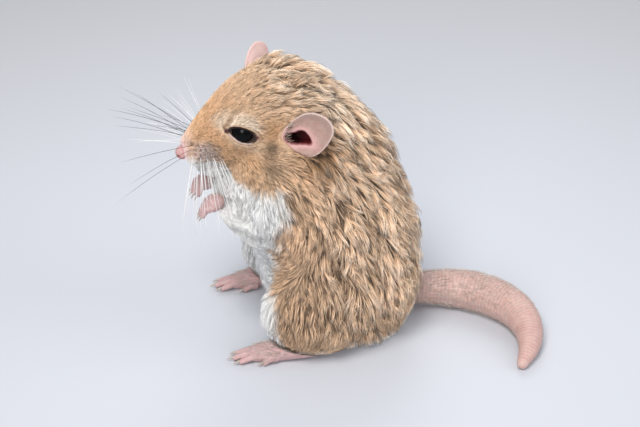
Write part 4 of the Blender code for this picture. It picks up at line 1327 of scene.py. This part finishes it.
class Surface:
    """A mesh's triangles, for scattering hair on them."""

    def __init__(self, mesh):
        mesh.calc_loop_triangles()
        count = len(mesh.loop_triangles)
        corners = np.empty(count * 3, np.int32)
        loops = np.empty(count * 3, np.int32)
        mesh.loop_triangles.foreach_get("vertices", corners)
        mesh.loop_triangles.foreach_get("loops", loops)
        self.corners, self.loops = corners.reshape(-1, 3), loops.reshape(-1, 3)
        self.co, self.normals = coordinates(mesh), normals_of(mesh)
        a, b, c = (self.co[self.corners[:, k]] for k in range(3))
        self.centres = (a + b + c) / 3
        self.areas = np.linalg.norm(np.cross(b - a, c - a), axis=1) / 2
        uv = np.empty(len(mesh.loops) * 2, np.float32)
        mesh.uv_layers["OFBake"].uv.foreach_get("vector", uv)
        self.uv = uv.reshape(-1, 2)
        self.tree = BVHTree.FromPolygons(self.co.tolist(), self.corners.tolist())

    def scatter(self, per_mm2, rng):
        """Places, normals and bake places of random roots."""
        count = rng.poisson(self.areas * 1e6 * per_mm2)
        triangle = np.repeat(np.arange(len(count)), count)
        u, v = rng.random(len(triangle)), rng.random(len(triangle))
        flip = u + v > 1
        u, v = np.where(flip, 1 - u, u), np.where(flip, 1 - v, v)
        share = np.stack([1 - u - v, u, v], axis=1)
        place = (self.co[self.corners[triangle]] * share[:, :, None]).sum(1)
        normal = (self.normals[self.corners[triangle]] * share[:, :, None]).sum(1)
        normal /= np.linalg.norm(normal, axis=1, keepdims=True)
        uv = (self.uv[self.loops[triangle]] * share[:, :, None]).sum(1)
        return place, normal, uv

    def settle_on(self, points):
        """The nearest place and normal on the surface for each point."""
        places, normals = np.empty_like(points), np.empty_like(points)
        find = self.tree.find_nearest
        for i, point in enumerate(points.tolist()):
            place, normal, _, _ = find(point)
            places[i], normals[i] = place, normal
        return places, normals


def unit(vectors):
    return vectors / np.maximum(np.linalg.norm(vectors, axis=1, keepdims=True), 1e-12)


def build_strands(name, strands, rings, material, slot="coat"):
    """One mesh of closed three-sided tapering strands along quadratic curves.

    strands holds start, middle, end, up, width, uv and the attributes to keep.
    """
    start, middle, end = strands["start"], strands["middle"], strands["end"]
    for line in (start, middle, end):
        line[:, 2] = np.maximum(line[:, 2], OFF_FLOOR)
    count = len(start)
    shares = np.linspace(0.0, 1.0, rings + 1)[:-1]
    taper = np.interp(shares, (0.0, 0.3, 0.7, 1.0), (0.75, 1.0, 0.72, 0.0))
    co = np.empty((count, rings * 3 + 1, 3))
    uv = np.empty((count, rings * 3 + 1, 2))
    along = np.empty((count, rings * 3 + 1))
    for k, t in enumerate(shares):
        centre = start * (1 - t) ** 2 + middle * (2 * t * (1 - t)) + end * t**2
        aim = unit((middle - start) * (1 - t) + (end - middle) * t)
        side = unit(np.cross(aim, strands["up"]))
        over = np.cross(side, aim)
        for j, turn in enumerate((math.pi / 2, math.pi * 7 / 6, math.pi * 11 / 6)):
            out = side * math.cos(turn) + over * (0.7 * math.sin(turn))
            co[:, k * 3 + j] = centre + out * (strands["width"] / 2 * taper[k])[:, None]
            uv[:, k * 3 + j] = strands["uv"] + ((j - 1) * PATCH_HALF, (t - 0.5) * PATCH_HIGH)
            along[:, k * 3 + j] = t
    co[:, -1], along[:, -1] = end, 1.0
    uv[:, -1] = strands["uv"] + (0.0, PATCH_HIGH / 2)
    faces = [(0, 1, 2)]
    for k in range(rings - 1):
        for j in range(3):
            a, b = k * 3 + j, k * 3 + (j + 1) % 3
            faces += [(a, a + 3, b + 3), (a, b + 3, b)]
    last = (rings - 1) * 3
    faces += [(last + j, rings * 3, last + (j + 1) % 3) for j in range(3)]
    faces = np.array(faces)
    triangles = (np.arange(count)[:, None, None] * (rings * 3 + 1) + faces).reshape(-1, 3)
    mesh = bpy.data.meshes.new(name)
    mesh.vertices.add(co.shape[0] * co.shape[1])
    mesh.vertices.foreach_set("co", co.astype(np.float32).ravel())
    mesh.loops.add(triangles.size)
    mesh.loops.foreach_set("vertex_index", triangles.astype(np.int32).ravel())
    mesh.polygons.add(len(triangles))
    mesh.polygons.foreach_set("loop_start", np.arange(0, triangles.size, 3, dtype=np.int32))
    mesh.update(calc_edges=True)
    layer = mesh.uv_layers.new(name="OFBake")
    layer.uv.foreach_set("vector", uv.reshape(-1, 2)[triangles.ravel()].astype(np.float32).ravel())
    set_attribute(mesh, "along", along.ravel())
    for key, values in strands["kept"].items():
        set_attribute(mesh, key, np.repeat(values, rings * 3 + 1))
    mesh.shade_smooth()
    obj = new_object(name, mesh)
    return finish_piece(obj, slot, material)


def strand_triangles(rings):
    return 6 * rings - 2


def zones(b, h):
    """The name of the coat piece that each root belongs to."""
    names = np.full(len(b), "coat_flank", dtype=object)
    names[b[:, 0] > 12] = "coat_back"
    names[(b[:, 0] < -6) & (b[:, 2] < 45)] = "coat_breast"
    names[b[:, 2] < 20] = "coat_haunch"
    high = (b[:, 2] > 47) | ((h[:, 2] > -14.5) & (h[:, 0] < 8) & (b[:, 2] > 44))
    names[high] = "coat_neck"
    head = high & (h[:, 0] < 17) & (h[:, 2] > -14.5)
    names[head] = "coat_crown"
    names[head & (h[:, 0] < 6)] = "coat_cheek"
    names[head & (h[:, 0] < -2.5)] = "coat_muzzle"
    side = np.where(b[:, 1] < 0, "_left", "_right")
    return names + side


class GERBIL_OT_coat(Operator):
    """Grows the coat as thin solid tufts that follow the lie of the hair, drawn into locks"""

    bl_idname = "gerbil.coat"
    bl_label = "Coat"

    def execute(self, context):
        coat, _, _ = settings()
        rng = np.random.default_rng(coat.seed)
        surface = Surface(bpy.data.objects["skin"].data)
        _, length, _ = LIE.read(to_frame(BODY, surface.centres))
        place, up, uv = surface.scatter(self.crowd(surface.centres, length), rng)
        keep = self.furred(place, rng)
        place, up, uv = place[keep], up[keep], uv[keep]
        marks = markings(place)
        strands = self.comb(surface, place, up, marks["white"], rng)
        strands["uv"] = uv
        strands["kept"].update(marks)
        strands = self.only(strands, self.clear_of_eyes(strands))
        b, h = (to_frame(m, strands["start"]) for m in (BODY, HEAD))
        names = zones(b, h)
        material = hair_material()
        for name in sorted(set(names)):
            fine = any(word in name for word in ("muzzle", "cheek", "breast", "haunch"))
            rings = 2 if fine else 3
            chosen = np.flatnonzero(names == name)
            chosen = chosen[np.argsort(b[chosen, 2], kind="stable")]
            parts = -(-len(chosen) * strand_triangles(rings) // (PIECE_LIMIT - 1))
            for number, part in enumerate(np.array_split(chosen, parts)):
                label = name if parts == 1 else f"{name}_{number + 1}"
                build_strands(label, self.only(strands, part), rings, material)
        return {"FINISHED"}

    def furred(self, place, rng):
        """False on the lids, the nose, the line of the mouth and in the ear's canal, and thin round them."""
        b, h = to_frame(BODY, place), to_frame(HEAD, place)
        keep = mouth_groove(h) < 0.6
        chance = rng.random(len(place))
        keep &= np.linalg.norm(h - np.array(NOSE_AT), axis=1) > 2.4 + 3.6 * chance**1.5
        keep &= b[:, 2] > 0.4
        for side in SIDES:
            keep &= chance > 0.75 * near(h, across(PAD_AT, side), 3.4)
            keep &= (lid_level(h, side) > 1.22) & (chance > 0.95 * corner_shade(*eye_plane(h, side)))
            share, _, above = in_ear(side, h)
            keep &= (share > 0.93) | (above < -3.5)
        return keep

    def comb(self, surface, place, up, white, rng):
        """Bends each hair along the lie of the coat and draws it towards the middle of its lock."""
        coat = settings()[0]
        b, h = to_frame(BODY, place), to_frame(HEAD, place)
        way, length, depth = LIE.read(b)
        count = len(place)
        rough = smoothstep(2.2, 6.5, length) * (1 - 0.6 * white)
        # the tufts on the crown stand up
        ragged = smoothstep(3.0, 8.0, h[:, 0]) * smoothstep(26.0, 19.0, h[:, 0])
        ragged *= smoothstep(2.0, 7.0, h[:, 2])
        crowd = self.crowd(place, length)
        lock = self.locks(place, unit(way), (0.36 + 0.17 * length) * (1 + 0.8 * ragged), crowd, rng)
        patch = self.locks(place, unit(way), 0.95 + 0.42 * length, crowd, rng)
        # each hair turns on its own, with its lock and with the patch that its lock is in
        own, shared, wide = rng.normal(size=(3, count, 3))
        shared, wide = shared[lock], wide[patch]
        way = unit(way) + own * 0.06 + shared * (0.06 + 0.15 * rough + 0.18 * ragged)[:, None]
        way += wide * (0.05 + 0.20 * rough)[:, None]
        way = unit(way - up * (way * up).sum(1, keepdims=True))
        width = (coat.thinnest + coat.widening * length * MM) * rng.uniform(0.75, 1.25, count)
        long = length * MM * rng.uniform(0.72, 1.08, count) * rng.uniform(0.84, 1.12, count)[lock]
        # how far the tip stands above the skin
        layer = rng.beta(2.2, 1.6, count)
        height = depth * MM * (0.28 + 0.62 * layer)
        uneven = rng.uniform(-0.28, 0.25, count)[lock] + rng.uniform(-0.45, 0.35, count)[patch]
        height *= 1 + uneven * (0.15 + 0.85 * rough)
        height *= 1 + 1.2 * ragged * (rng.random(count) < 0.38)[lock]
        height = np.minimum(height, long * 0.6)
        # the tip lies above the skin that it reaches, and is drawn to the tip of its lock
        flat = np.sqrt(long**2 - height**2)
        beyond = place + way * flat[:, None]
        low, low_up = surface.settle_on(beyond)
        end = low + low_up * height[:, None]
        middle = place + way * (flat * 0.42)[:, None] + up * (height * 1.15)[:, None]
        draw = coat.lock * rng.uniform(0.25, 1.25, count)[lock] * rng.uniform(0.6, 1.0, count)
        draw *= smoothstep(1.2, 5.0, length) * (1 - 0.4 * white)
        end += (end[lock] - end) * draw[:, None]
        middle += (middle[lock] - middle) * (draw * 0.45)[:, None]
        own, shared, wide = rng.normal(size=(3, count))
        tint = own * 0.20 + (shared[lock] * 0.15 + wide[patch] * 0.17) * (0.4 + 0.6 * rough)
        tint = np.clip(0.5 + tint, 0, 1)
        return {
            "start": place - up * 0.0001, "middle": middle, "end": end, "up": up, "width": width,
            "kept": {"tint": tint, "rough": rough},
        }

    def locks(self, place, way, spacing, crowd, rng):
        """For each hair, the hair in the middle of its lock, which is longer than it is wide."""
        chance = np.clip(1.15 / (spacing**2 * crowd), 0, 1)
        leaders = np.flatnonzero(rng.random(len(place)) < chance)
        tree = KDTree(len(leaders))
        for number, leader in enumerate(leaders.tolist()):
            tree.insert(place[leader], number)
        tree.balance()
        about = min(7, len(leaders))
        found = np.array([[n for _, n, _ in tree.find_n(point, about)] for point in place.tolist()])
        gap = place[leaders[found]] - place[:, None]
        along = (gap * way[:, None]).sum(2)
        across = (gap**2).sum(2) - 0.82 * along**2
        return leaders[found[np.arange(len(place)), across.argmin(1)]]

    def crowd(self, place, length):
        """Hairs on each square millimetre, fewer low down."""
        coat = settings()[0]
        cover = coat.cover * 1.0
        cover = cover * (0.72 + 0.60 * smoothstep(14.0, 32.0, to_frame(BODY, place)[:, 2]))
        return cover / (length * (coat.thinnest / MM + coat.widening * length))

    def clear_of_eyes(self, strands):
        """False for a hair that would cross an eye or the cup of an ear."""
        clear = np.ones(len(strands["start"]), bool)
        for share in (0.5, 0.75, 1.0):
            point = strands["start"] * (1 - share) ** 2 + strands["middle"] * (2 * share * (1 - share))
            point += strands["end"] * share**2
            h = to_frame(HEAD, point)
            for side in SIDES:
                below = to_frame(eye_frame(side), h * MM)[:, 2] < 0.3
                clear &= lid_level(h, side) > np.where(below, 1.36, 1.10)
                cup, _, above = in_ear(side, h)
                clear &= (cup > 0.97) | (above < -0.35) | (above > 3.0)
        return clear

    def only(self, strands, mask):
        part = {key: values[mask] for key, values in strands.items() if key != "kept"}
        part["kept"] = {key: values[mask] for key, values in strands["kept"].items()}
        return part


class GERBIL_OT_down(Operator):
    """Lays short, sparse hair on the tail, the wrists and the tops of the feet"""

    bl_idname = "gerbil.down"
    bl_label = "Down"

    def execute(self, context):
        rng = np.random.default_rng(settings()[0].seed + 1)
        shader = Shader("down", Roughness=0.75, Specular_IOR_Level=0.15)
        colour = shader.mix(DOWN_DARK, DOWN_PALE, shader.attribute("tint"))
        shader.set("Base Color", colour)
        self.lay("tail", 4.8, 1.5, 0.45, rng, shader.material)
        for side in SIDES:
            self.lay(side + "_hind_foot_skin", 9.0, 1.5, 0.40, rng, shader.material)
            self.lay(side + "_forepaw_skin", 14.0, 0.9, 0.25, rng, shader.material)
        return {"FINISHED"}

    def lay(self, name, per_mm2, length, lift, rng, material):
        surface = Surface(bpy.data.objects[name].data)
        place, up, uv = surface.scatter(per_mm2 * (1.0), rng)
        b = to_frame(BODY, place)
        if name == "tail":
            along, way = tail_reading(b)
            keep = rng.random(len(b)) < smoothstep(54.0, 20.0, along) * 0.7 + 0.3
            length = length * smoothstep(-30.0, 0.0, 20.0 - along)[:, None] + 0.5
        else:
            way = np.tile((-1.0, 0.0, -0.15), (len(b), 1))
            reach = b[:, 0] - (FOOT_END[0] if "foot" in name else PAW_AT["left"][0])
            keep = rng.random(len(b)) < smoothstep(-3.0, 2.0, reach) * smoothstep(-0.15, 0.35, up[:, 2])
        keep &= (b[:, 2] > 0.5) & (up[:, 2] > -0.8)
        place, up, uv, way, b = place[keep], up[keep], uv[keep], way[keep], b[keep]
        length = length[keep] if np.ndim(length) else length
        way = way + rng.normal(0, 0.22, way.shape)
        way = unit(way - up * (way * up).sum(1, keepdims=True))
        long = length * rng.uniform(0.6, 1.1, (len(b), 1)) * MM
        high = long * lift * rng.uniform(0.4, 1.0, (len(b), 1))
        strands = {
            "start": place - up * 0.00006, "middle": place + way * long * 0.5 + up * high * 1.1,
            "end": place + way * long * 0.92 + up * high * 0.8, "up": up, "uv": uv,
            "width": rng.uniform(0.00005, 0.00008, len(b)), "kept": {"tint": rng.random(len(b))},
        }
        build_strands(name.replace("_skin", "") + "_down", strands, 2, material)


# Whiskers


class GERBIL_OT_whiskers(Operator):
    """Sets rows of fine whiskers in each lip"""

    bl_idname = "gerbil.whiskers"
    bl_label = "Whiskers"

    def execute(self, context):
        shader = Shader("whisker", Roughness=0.35, Specular_IOR_Level=0.4)
        black = shader.attribute("black")
        shader.set("Base Color", shader.mix(WHISKER_WHITE, WHISKER_BLACK, black))
        for side in SIDES:
            self.side(side, shader.material)
        return {"FINISHED"}

    def side(self, side, material):
        rng = np.random.default_rng(5 + SIDES[side])
        lines, widths, black = [], [], []
        for root, back, down in whisker_roots(side):
            dark = down < 0.6 and back < (0.1 if side == "left" else 0.7)
            aim = self.heading(side, dark, back, down, rng)
            long = rng.uniform(16.0, 25.0) if dark else (19.0 + 4.0 * back) * rng.uniform(0.75, 1.0)
            droop = Vector((0.05, 0, -1)) * long * rng.uniform(0.05, 0.15)
            line = (root - aim * 0.5, root + aim * long * 0.5, root + aim * long + droop)
            lines.append([(HEAD @ point) * MM for point in line])
            width = FINE_WHISKER if dark or side == "right" else WHITE_WHISKER
            widths.append(width * rng.uniform(0.8, 1.15))
            black.append(float(dark))
        start, middle, end = np.array(lines).transpose(1, 0, 2)
        strands = {
            "start": start, "middle": middle, "end": end,
            "up": np.tile((0.0, 0.0, 1.0), (len(start), 1)), "width": np.array(widths),
            "uv": rng.uniform(0.1, 0.9, (len(start), 2)), "kept": {"black": np.array(black)},
        }
        build_strands(side + "_whiskers", strands, 8, material)
        self.stubble(side, rng, material)

    def heading(self, side, dark, back, down, rng):
        """The way a whisker points: dark ones forwards, and the white ones of the left side down."""
        swing = 26 + 60 * back + rng.uniform(-8, 8)
        rise = 0.34 - 0.30 * down + rng.uniform(-0.07, 0.07)
        if side == "left" and dark:
            rise = 0.40 - 0.95 * down
        elif side == "left":
            swing, rise = 42 + 70 * back + rng.uniform(-9, 9), -1.25 - 0.5 * down
        elif dark:
            rise = 0.80 - 0.95 * back - 1.0 * down + rng.uniform(-0.06, 0.06)
        swing = math.radians(swing)
        return Vector((-math.cos(swing), math.sin(swing) * SIDES[side], rise)).normalized()

    def stubble(self, side, rng, material):
        """Short dark hairs among the roots of the whiskers."""
        roots = np.array([root for root, back, _ in whisker_roots(side) if back > 0.1])
        roots += rng.normal(0, 0.30, roots.shape) + (0.0, 2.4 * SIDES[side], 0.8)
        roots = np.repeat(roots, 4, axis=0)
        count = len(roots)
        roots += rng.normal(0, 0.09, roots.shape)
        place = np.array(HEAD_PLACE)
        start, up = Surface(bpy.data.objects["skin"].data).settle_on(roots @ place[:3, :3].T + place[:3, 3])
        aim = unit(up * 0.42 + rng.normal(0, 0.45, (count, 3)))
        long = rng.uniform(0.9, 2.1, (count, 1)) * MM
        strands = {
            "start": start - up * 0.0001, "middle": start + aim * long * 0.55,
            "end": start + aim * long + np.array((0, 0, -0.25)) * long, "up": up,
            "width": rng.uniform(0.00006, 0.00009, count), "uv": rng.uniform(0.1, 0.9, (count, 2)),
            "kept": {"black": rng.uniform(0.4, 1.2, count)},
        }
        build_strands(side + "_stubble", strands, 3, material)


# Stage


class GERBIL_OT_stage(Operator):
    """Adds the pale floor, the soft lights and the camera"""

    bl_idname = "gerbil.stage"
    bl_label = "Stage"

    def execute(self, context):
        stage = settings()[2]
        bm = bmesh.new()
        bmesh.ops.create_circle(bm, cap_ends=True, segments=128, radius=FLOOR_RADIUS)
        floor = from_bmesh("floor", bm)
        shader = Shader("pale_floor", Roughness=0.55, Specular_IOR_Level=0.3)
        place = {0: shader.object_coordinates()}
        far = shader.add("ShaderNodeVectorMath", {"operation": "LENGTH"}, place, "Value")
        # painted shade: the floor darkens towards its far colour away from the middle
        colour = shader.mix(tuple(stage.floor), tuple(stage.floor_far_shade), far.between(0.0, 0.34))
        shader.set("Base Color", shader.scaled(colour, shader.noise(3.0) * 0.04 + 0.98))
        floor.data.materials.append(shader.material)
        floor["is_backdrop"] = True
        self.light("key", (-0.40, -0.60, 1.15), stage.key, 0.6, (1.0, 0.985, 0.96))
        self.light("front", (-0.35, -1.00, 0.45), stage.front, 0.5, (1.0, 0.99, 0.97))
        self.light("fill", (0.95, -0.35, 0.65), stage.fill, 0.9, (0.94, 0.97, 1.0))
        self.light("back", (0.20, 0.95, 0.85), stage.fill, 0.8, (1.0, 1.0, 1.0))
        world = bpy.data.worlds.new("pale_sky")
        context.scene.world = world
        world.use_nodes = True
        world.node_tree.nodes["Background"].inputs["Color"].default_value = (0.90, 0.94, 1.0, 1.0)
        world.node_tree.nodes["Background"].inputs["Strength"].default_value = stage.sky
        context.scene.view_settings.view_transform = "Standard"
        self.camera(context, stage.distance)
        return {"FINISHED"}

    def light(self, name, place, power, size, colour):
        data = bpy.data.lights.new(name, "AREA")
        data.shape, data.size, data.energy, data.color = "DISK", size, power, colour
        obj = bpy.data.objects.new(name, data)
        bpy.context.scene.collection.objects.link(obj)
        obj.location = Vector(place)
        obj.rotation_euler = (LIGHTS_AIM - obj.location).to_track_quat("-Z", "Y").to_euler()

    def camera(self, context, distance):
        """The photograph's view, down on the animal's left side and a little from the front."""
        turn, tilt = math.radians(CAMERA_TURN), math.radians(CAMERA_TILT)
        right = Vector((math.cos(turn), math.sin(turn), 0))
        up = Vector((-math.sin(turn) * math.sin(tilt), math.cos(turn) * math.sin(tilt), math.cos(tilt)))
        back = right.cross(up)
        off_x, off_y = ((size / 2 - seen) / PIXELS_PER_MM for size, seen in zip(PHOTO_SIZE, MIDDLE_SEEN_AT))
        target = MIDDLE + right * off_x - up * off_y
        data = bpy.data.cameras.new("camera")
        data.sensor_width = 36.0
        data.lens = PIXELS_PER_MM * distance / MM / PHOTO_SIZE[0] * data.sensor_width
        data.clip_start, data.clip_end = 0.01, 20.0
        obj = bpy.data.objects.new("camera", data)
        context.scene.collection.objects.link(obj)
        obj.location = (BODY @ target) * MM + back * distance
        obj.rotation_euler = Matrix((right, up, back)).transposed().to_euler()
        context.scene.camera = obj


class GERBIL_PT_sidebar(Panel):
    """Lists the gerbil's pieces"""

    bl_idname = "GERBIL_PT_sidebar"
    bl_label = "Fat-Tailed Gerbil"
    bl_space_type = "VIEW_3D"
    bl_region_type = "UI"
    bl_category = "Gerbil"

    def draw(self, context):
        for group in ("gerbil_skin", "gerbil_coat", "gerbil_stage"):
            box = self.layout.box()
            values = getattr(context.scene, group)
            for name in values.bl_rna.properties.keys():
                if name not in ("rna_type", "name"):
                    box.prop(values, name)
        for operator in PIECES:
            self.layout.operator(operator.bl_idname)


PIECES = (
    GERBIL_OT_skin, GERBIL_OT_eyes, GERBIL_OT_lids, GERBIL_OT_ears, GERBIL_OT_bare, GERBIL_OT_coat,
    GERBIL_OT_down, GERBIL_OT_whiskers, GERBIL_OT_stage,
)
GROUPS = {"gerbil_coat": GerbilCoat, "gerbil_skin": GerbilSkin, "gerbil_stage": GerbilStage}


def register():
    for name, group in GROUPS.items():
        bpy.utils.register_class(group)
        setattr(bpy.types.Scene, name, PointerProperty(type=group))
    for cls in (*PIECES, GERBIL_PT_sidebar):
        bpy.utils.register_class(cls)


def unregister():
    for cls in reversed((*PIECES, GERBIL_PT_sidebar)):
        bpy.utils.unregister_class(cls)
    for name, group in GROUPS.items():
        delattr(bpy.types.Scene, name)
        bpy.utils.unregister_class(group)


def main():
    register()
    for step in ("skin", "eyes", "lids", "ears", "bare", "coat", "down", "whiskers", "stage"):
        getattr(bpy.ops.gerbil, step)()
    boxes = {"cad": CAD_BOX, "visual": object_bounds()}
    {name: [list(corner) for corner in box] for name, box in boxes.items()}


if __name__ == "__main__":
    main()
